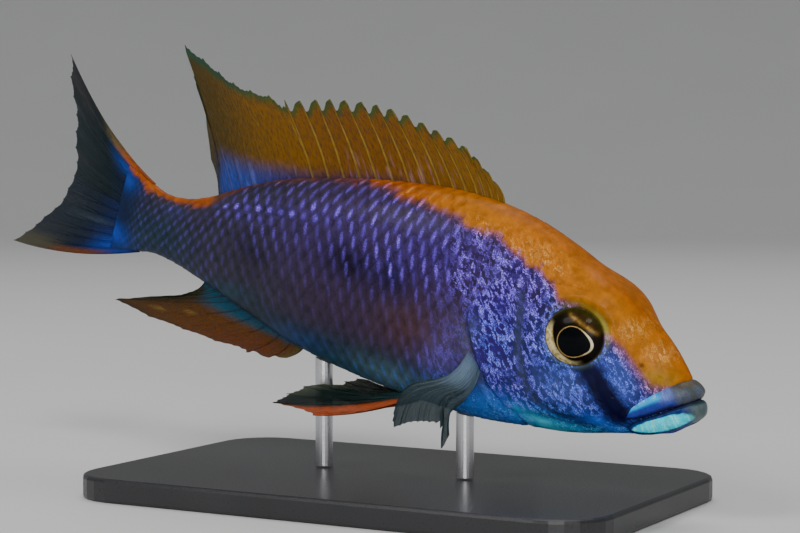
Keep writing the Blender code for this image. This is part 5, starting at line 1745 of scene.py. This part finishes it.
# %% Finishes of the stand
def stand_finish(name, colour, stretch, **constants):
    """Fine marks change gloss and tone, and a broad cloud changes the tone a little more."""
    mat, tree, shader = new_finish(name, **constants)
    place = object_place(tree)
    lie = wire(tree, "ShaderNodeMapping", {"Vector": place, "Scale": stretch})
    marks = noise(tree, lie.outputs[0], 1.0, 5.0, Roughness=0.7)
    shade = marks.ramp(0.3, 0.7, 0.85, 1.1) * noise(tree, place, 60.0, 3.0).ramp(0.3, 0.7, 0.9, 1.1)
    complete(tree, shader, {"Base Color": scaled(tree, colour, shade),
                            "Roughness": marks.ramp(0.3, 0.7, 0.26, 0.40)}, marks, 0.15, 0.00003)
    return mat


stand_base = bpy.data.objects["stand_base"]
stand_rods = [bpy.data.objects["stand_rod_" + word] for word in ("front", "rear")]
wear_finish([stand_base], stand_finish("satin black", (0.022, 0.022, 0.024), (3000, 3000, 3000),
                                       Metallic=0.0, IOR=1.49))
wear_finish(stand_rods, stand_finish("brushed steel", (0.60, 0.60, 0.62), (900, 900, 30000),
                                     Metallic=1.0, Anisotropic=0.5))

# %% [markdown]
# The model stands on a plain pale floor. The floor sweeps up far from the model, so that no
# hard line crosses the picture behind it.

# %% Floor
def swept_floor(rings=60, spokes=128):
    """A flat disc that sweeps up all round: height 1.5 s^2 for the share s from 1.1 m to 2.8 m out."""
    r = np.linspace(0, 1, rings)[1:, None] ** 1.3 * 2.8
    theta = np.linspace(0, 2 * np.pi, spokes, endpoint=False)
    rise = 1.5 * np.clip((r - 1.1) / 1.7, 0, 1) ** 2 + 0 * theta
    rim = np.stack([r * np.cos(theta), r * np.sin(theta), rise], -1).reshape(-1, 3)
    under = rim[::-1].reshape(rings - 1, spokes, 3)[:, ::-1].reshape(-1, 3) - (0, 0, 0.02)
    points = np.concatenate([[(0, 0, 0)], rim, under, [(0, 0, -0.02)]])
    quads = grid_faces(2 * rings - 2, spokes, closed_round=True, start=1)
    caps = end_fans(2 * rings - 2, spokes, (0, len(points) - 1), start=1)
    obj = new_piece("floor", points, quads, caps, sharp_deg=40)
    mat, tree, shader = new_finish("pale floor", Roughness=0.55)
    cloud = noise(tree, object_place(tree), 9.0, 4.0)
    pale = blend_colour(tree, cloud, (0.72, 0.72, 0.71, 1), (0.76, 0.76, 0.75, 1))
    feed(tree, pale, shader.inputs["Base Color"])
    wear_finish([obj], mat)


swept_floor()

# %% [markdown]
# Large lamps give soft shadows. The key and the side lamp light the near flank, the top lamp
# the back, and the low lamp the belly and the throat, which would be too dark without it.

# %% Lamps
def lamp(name, place, target, size, power, colour=(1, 1, 1)):
    """An area lamp turned to its target."""
    data = bpy.data.lights.new(name, "AREA")
    data.shape, data.size, data.energy, data.color = "DISK", size, power, colour
    obj = bpy.data.objects.new(name, data)
    aim = Vector(target) - Vector(place)
    obj.matrix_world = Matrix.Translation(place) @ aim.to_track_quat("-Z", "Y").to_matrix().to_4x4()
    bpy.context.scene.collection.objects.link(obj)


CENTRE = (0.0, 0.0, 0.045)
lamp("key lamp", (0.50, -0.75, 0.85), CENTRE, 0.35, 5.6)
lamp("side lamp", (-0.48, -0.87, 0.95), CENTRE, 0.45, 5.2)
lamp("top lamp", (-0.1, 0.35, 1.0), CENTRE, 0.7, 3.4)
lamp("low lamp", (0.55, -0.85, 0.16), CENTRE, 0.4, 3.0)
world = bpy.data.worlds.new("pale room")
bpy.context.scene.world = world
world.use_nodes = True
world.node_tree.nodes["Background"].inputs[0].default_value = (0.80, 0.82, 0.84, 1)
world.node_tree.nodes["Background"].inputs[1].default_value = 0.26

# %% [markdown]
# The camera stands at the photograph's angle: ahead of the fish's right side and a little above
# level. A long lens keeps the fish's proportions as the photograph shows them.

# %% Camera
AHEAD_DEG, ABOVE_DEG = 29.0, 3.0
CAMERA_PLACE = (0.18744, -0.30083, 0.0568)
camera_data = bpy.data.cameras.new("camera")
camera_data.sensor_width, camera_data.lens = 36.0, 92.90
camera_data.clip_start = 0.01
camera = bpy.data.objects.new("camera", camera_data)
yaw, rise = math.radians(AHEAD_DEG), math.radians(ABOVE_DEG)
back = Vector((math.sin(yaw) * math.cos(rise), -math.cos(yaw) * math.cos(rise), math.sin(rise)))
right = Vector((math.cos(yaw), math.sin(yaw), 0))
up = back.cross(right)
turned = Matrix((right, up, back)).transposed().to_4x4()
camera.matrix_world = Matrix.Translation(CAMERA_PLACE) @ turned
bpy.context.scene.collection.objects.link(camera)
bpy.context.scene.camera = camera
print("camera", CAMERA_PLACE, "lens", round(camera_data.lens, 1))
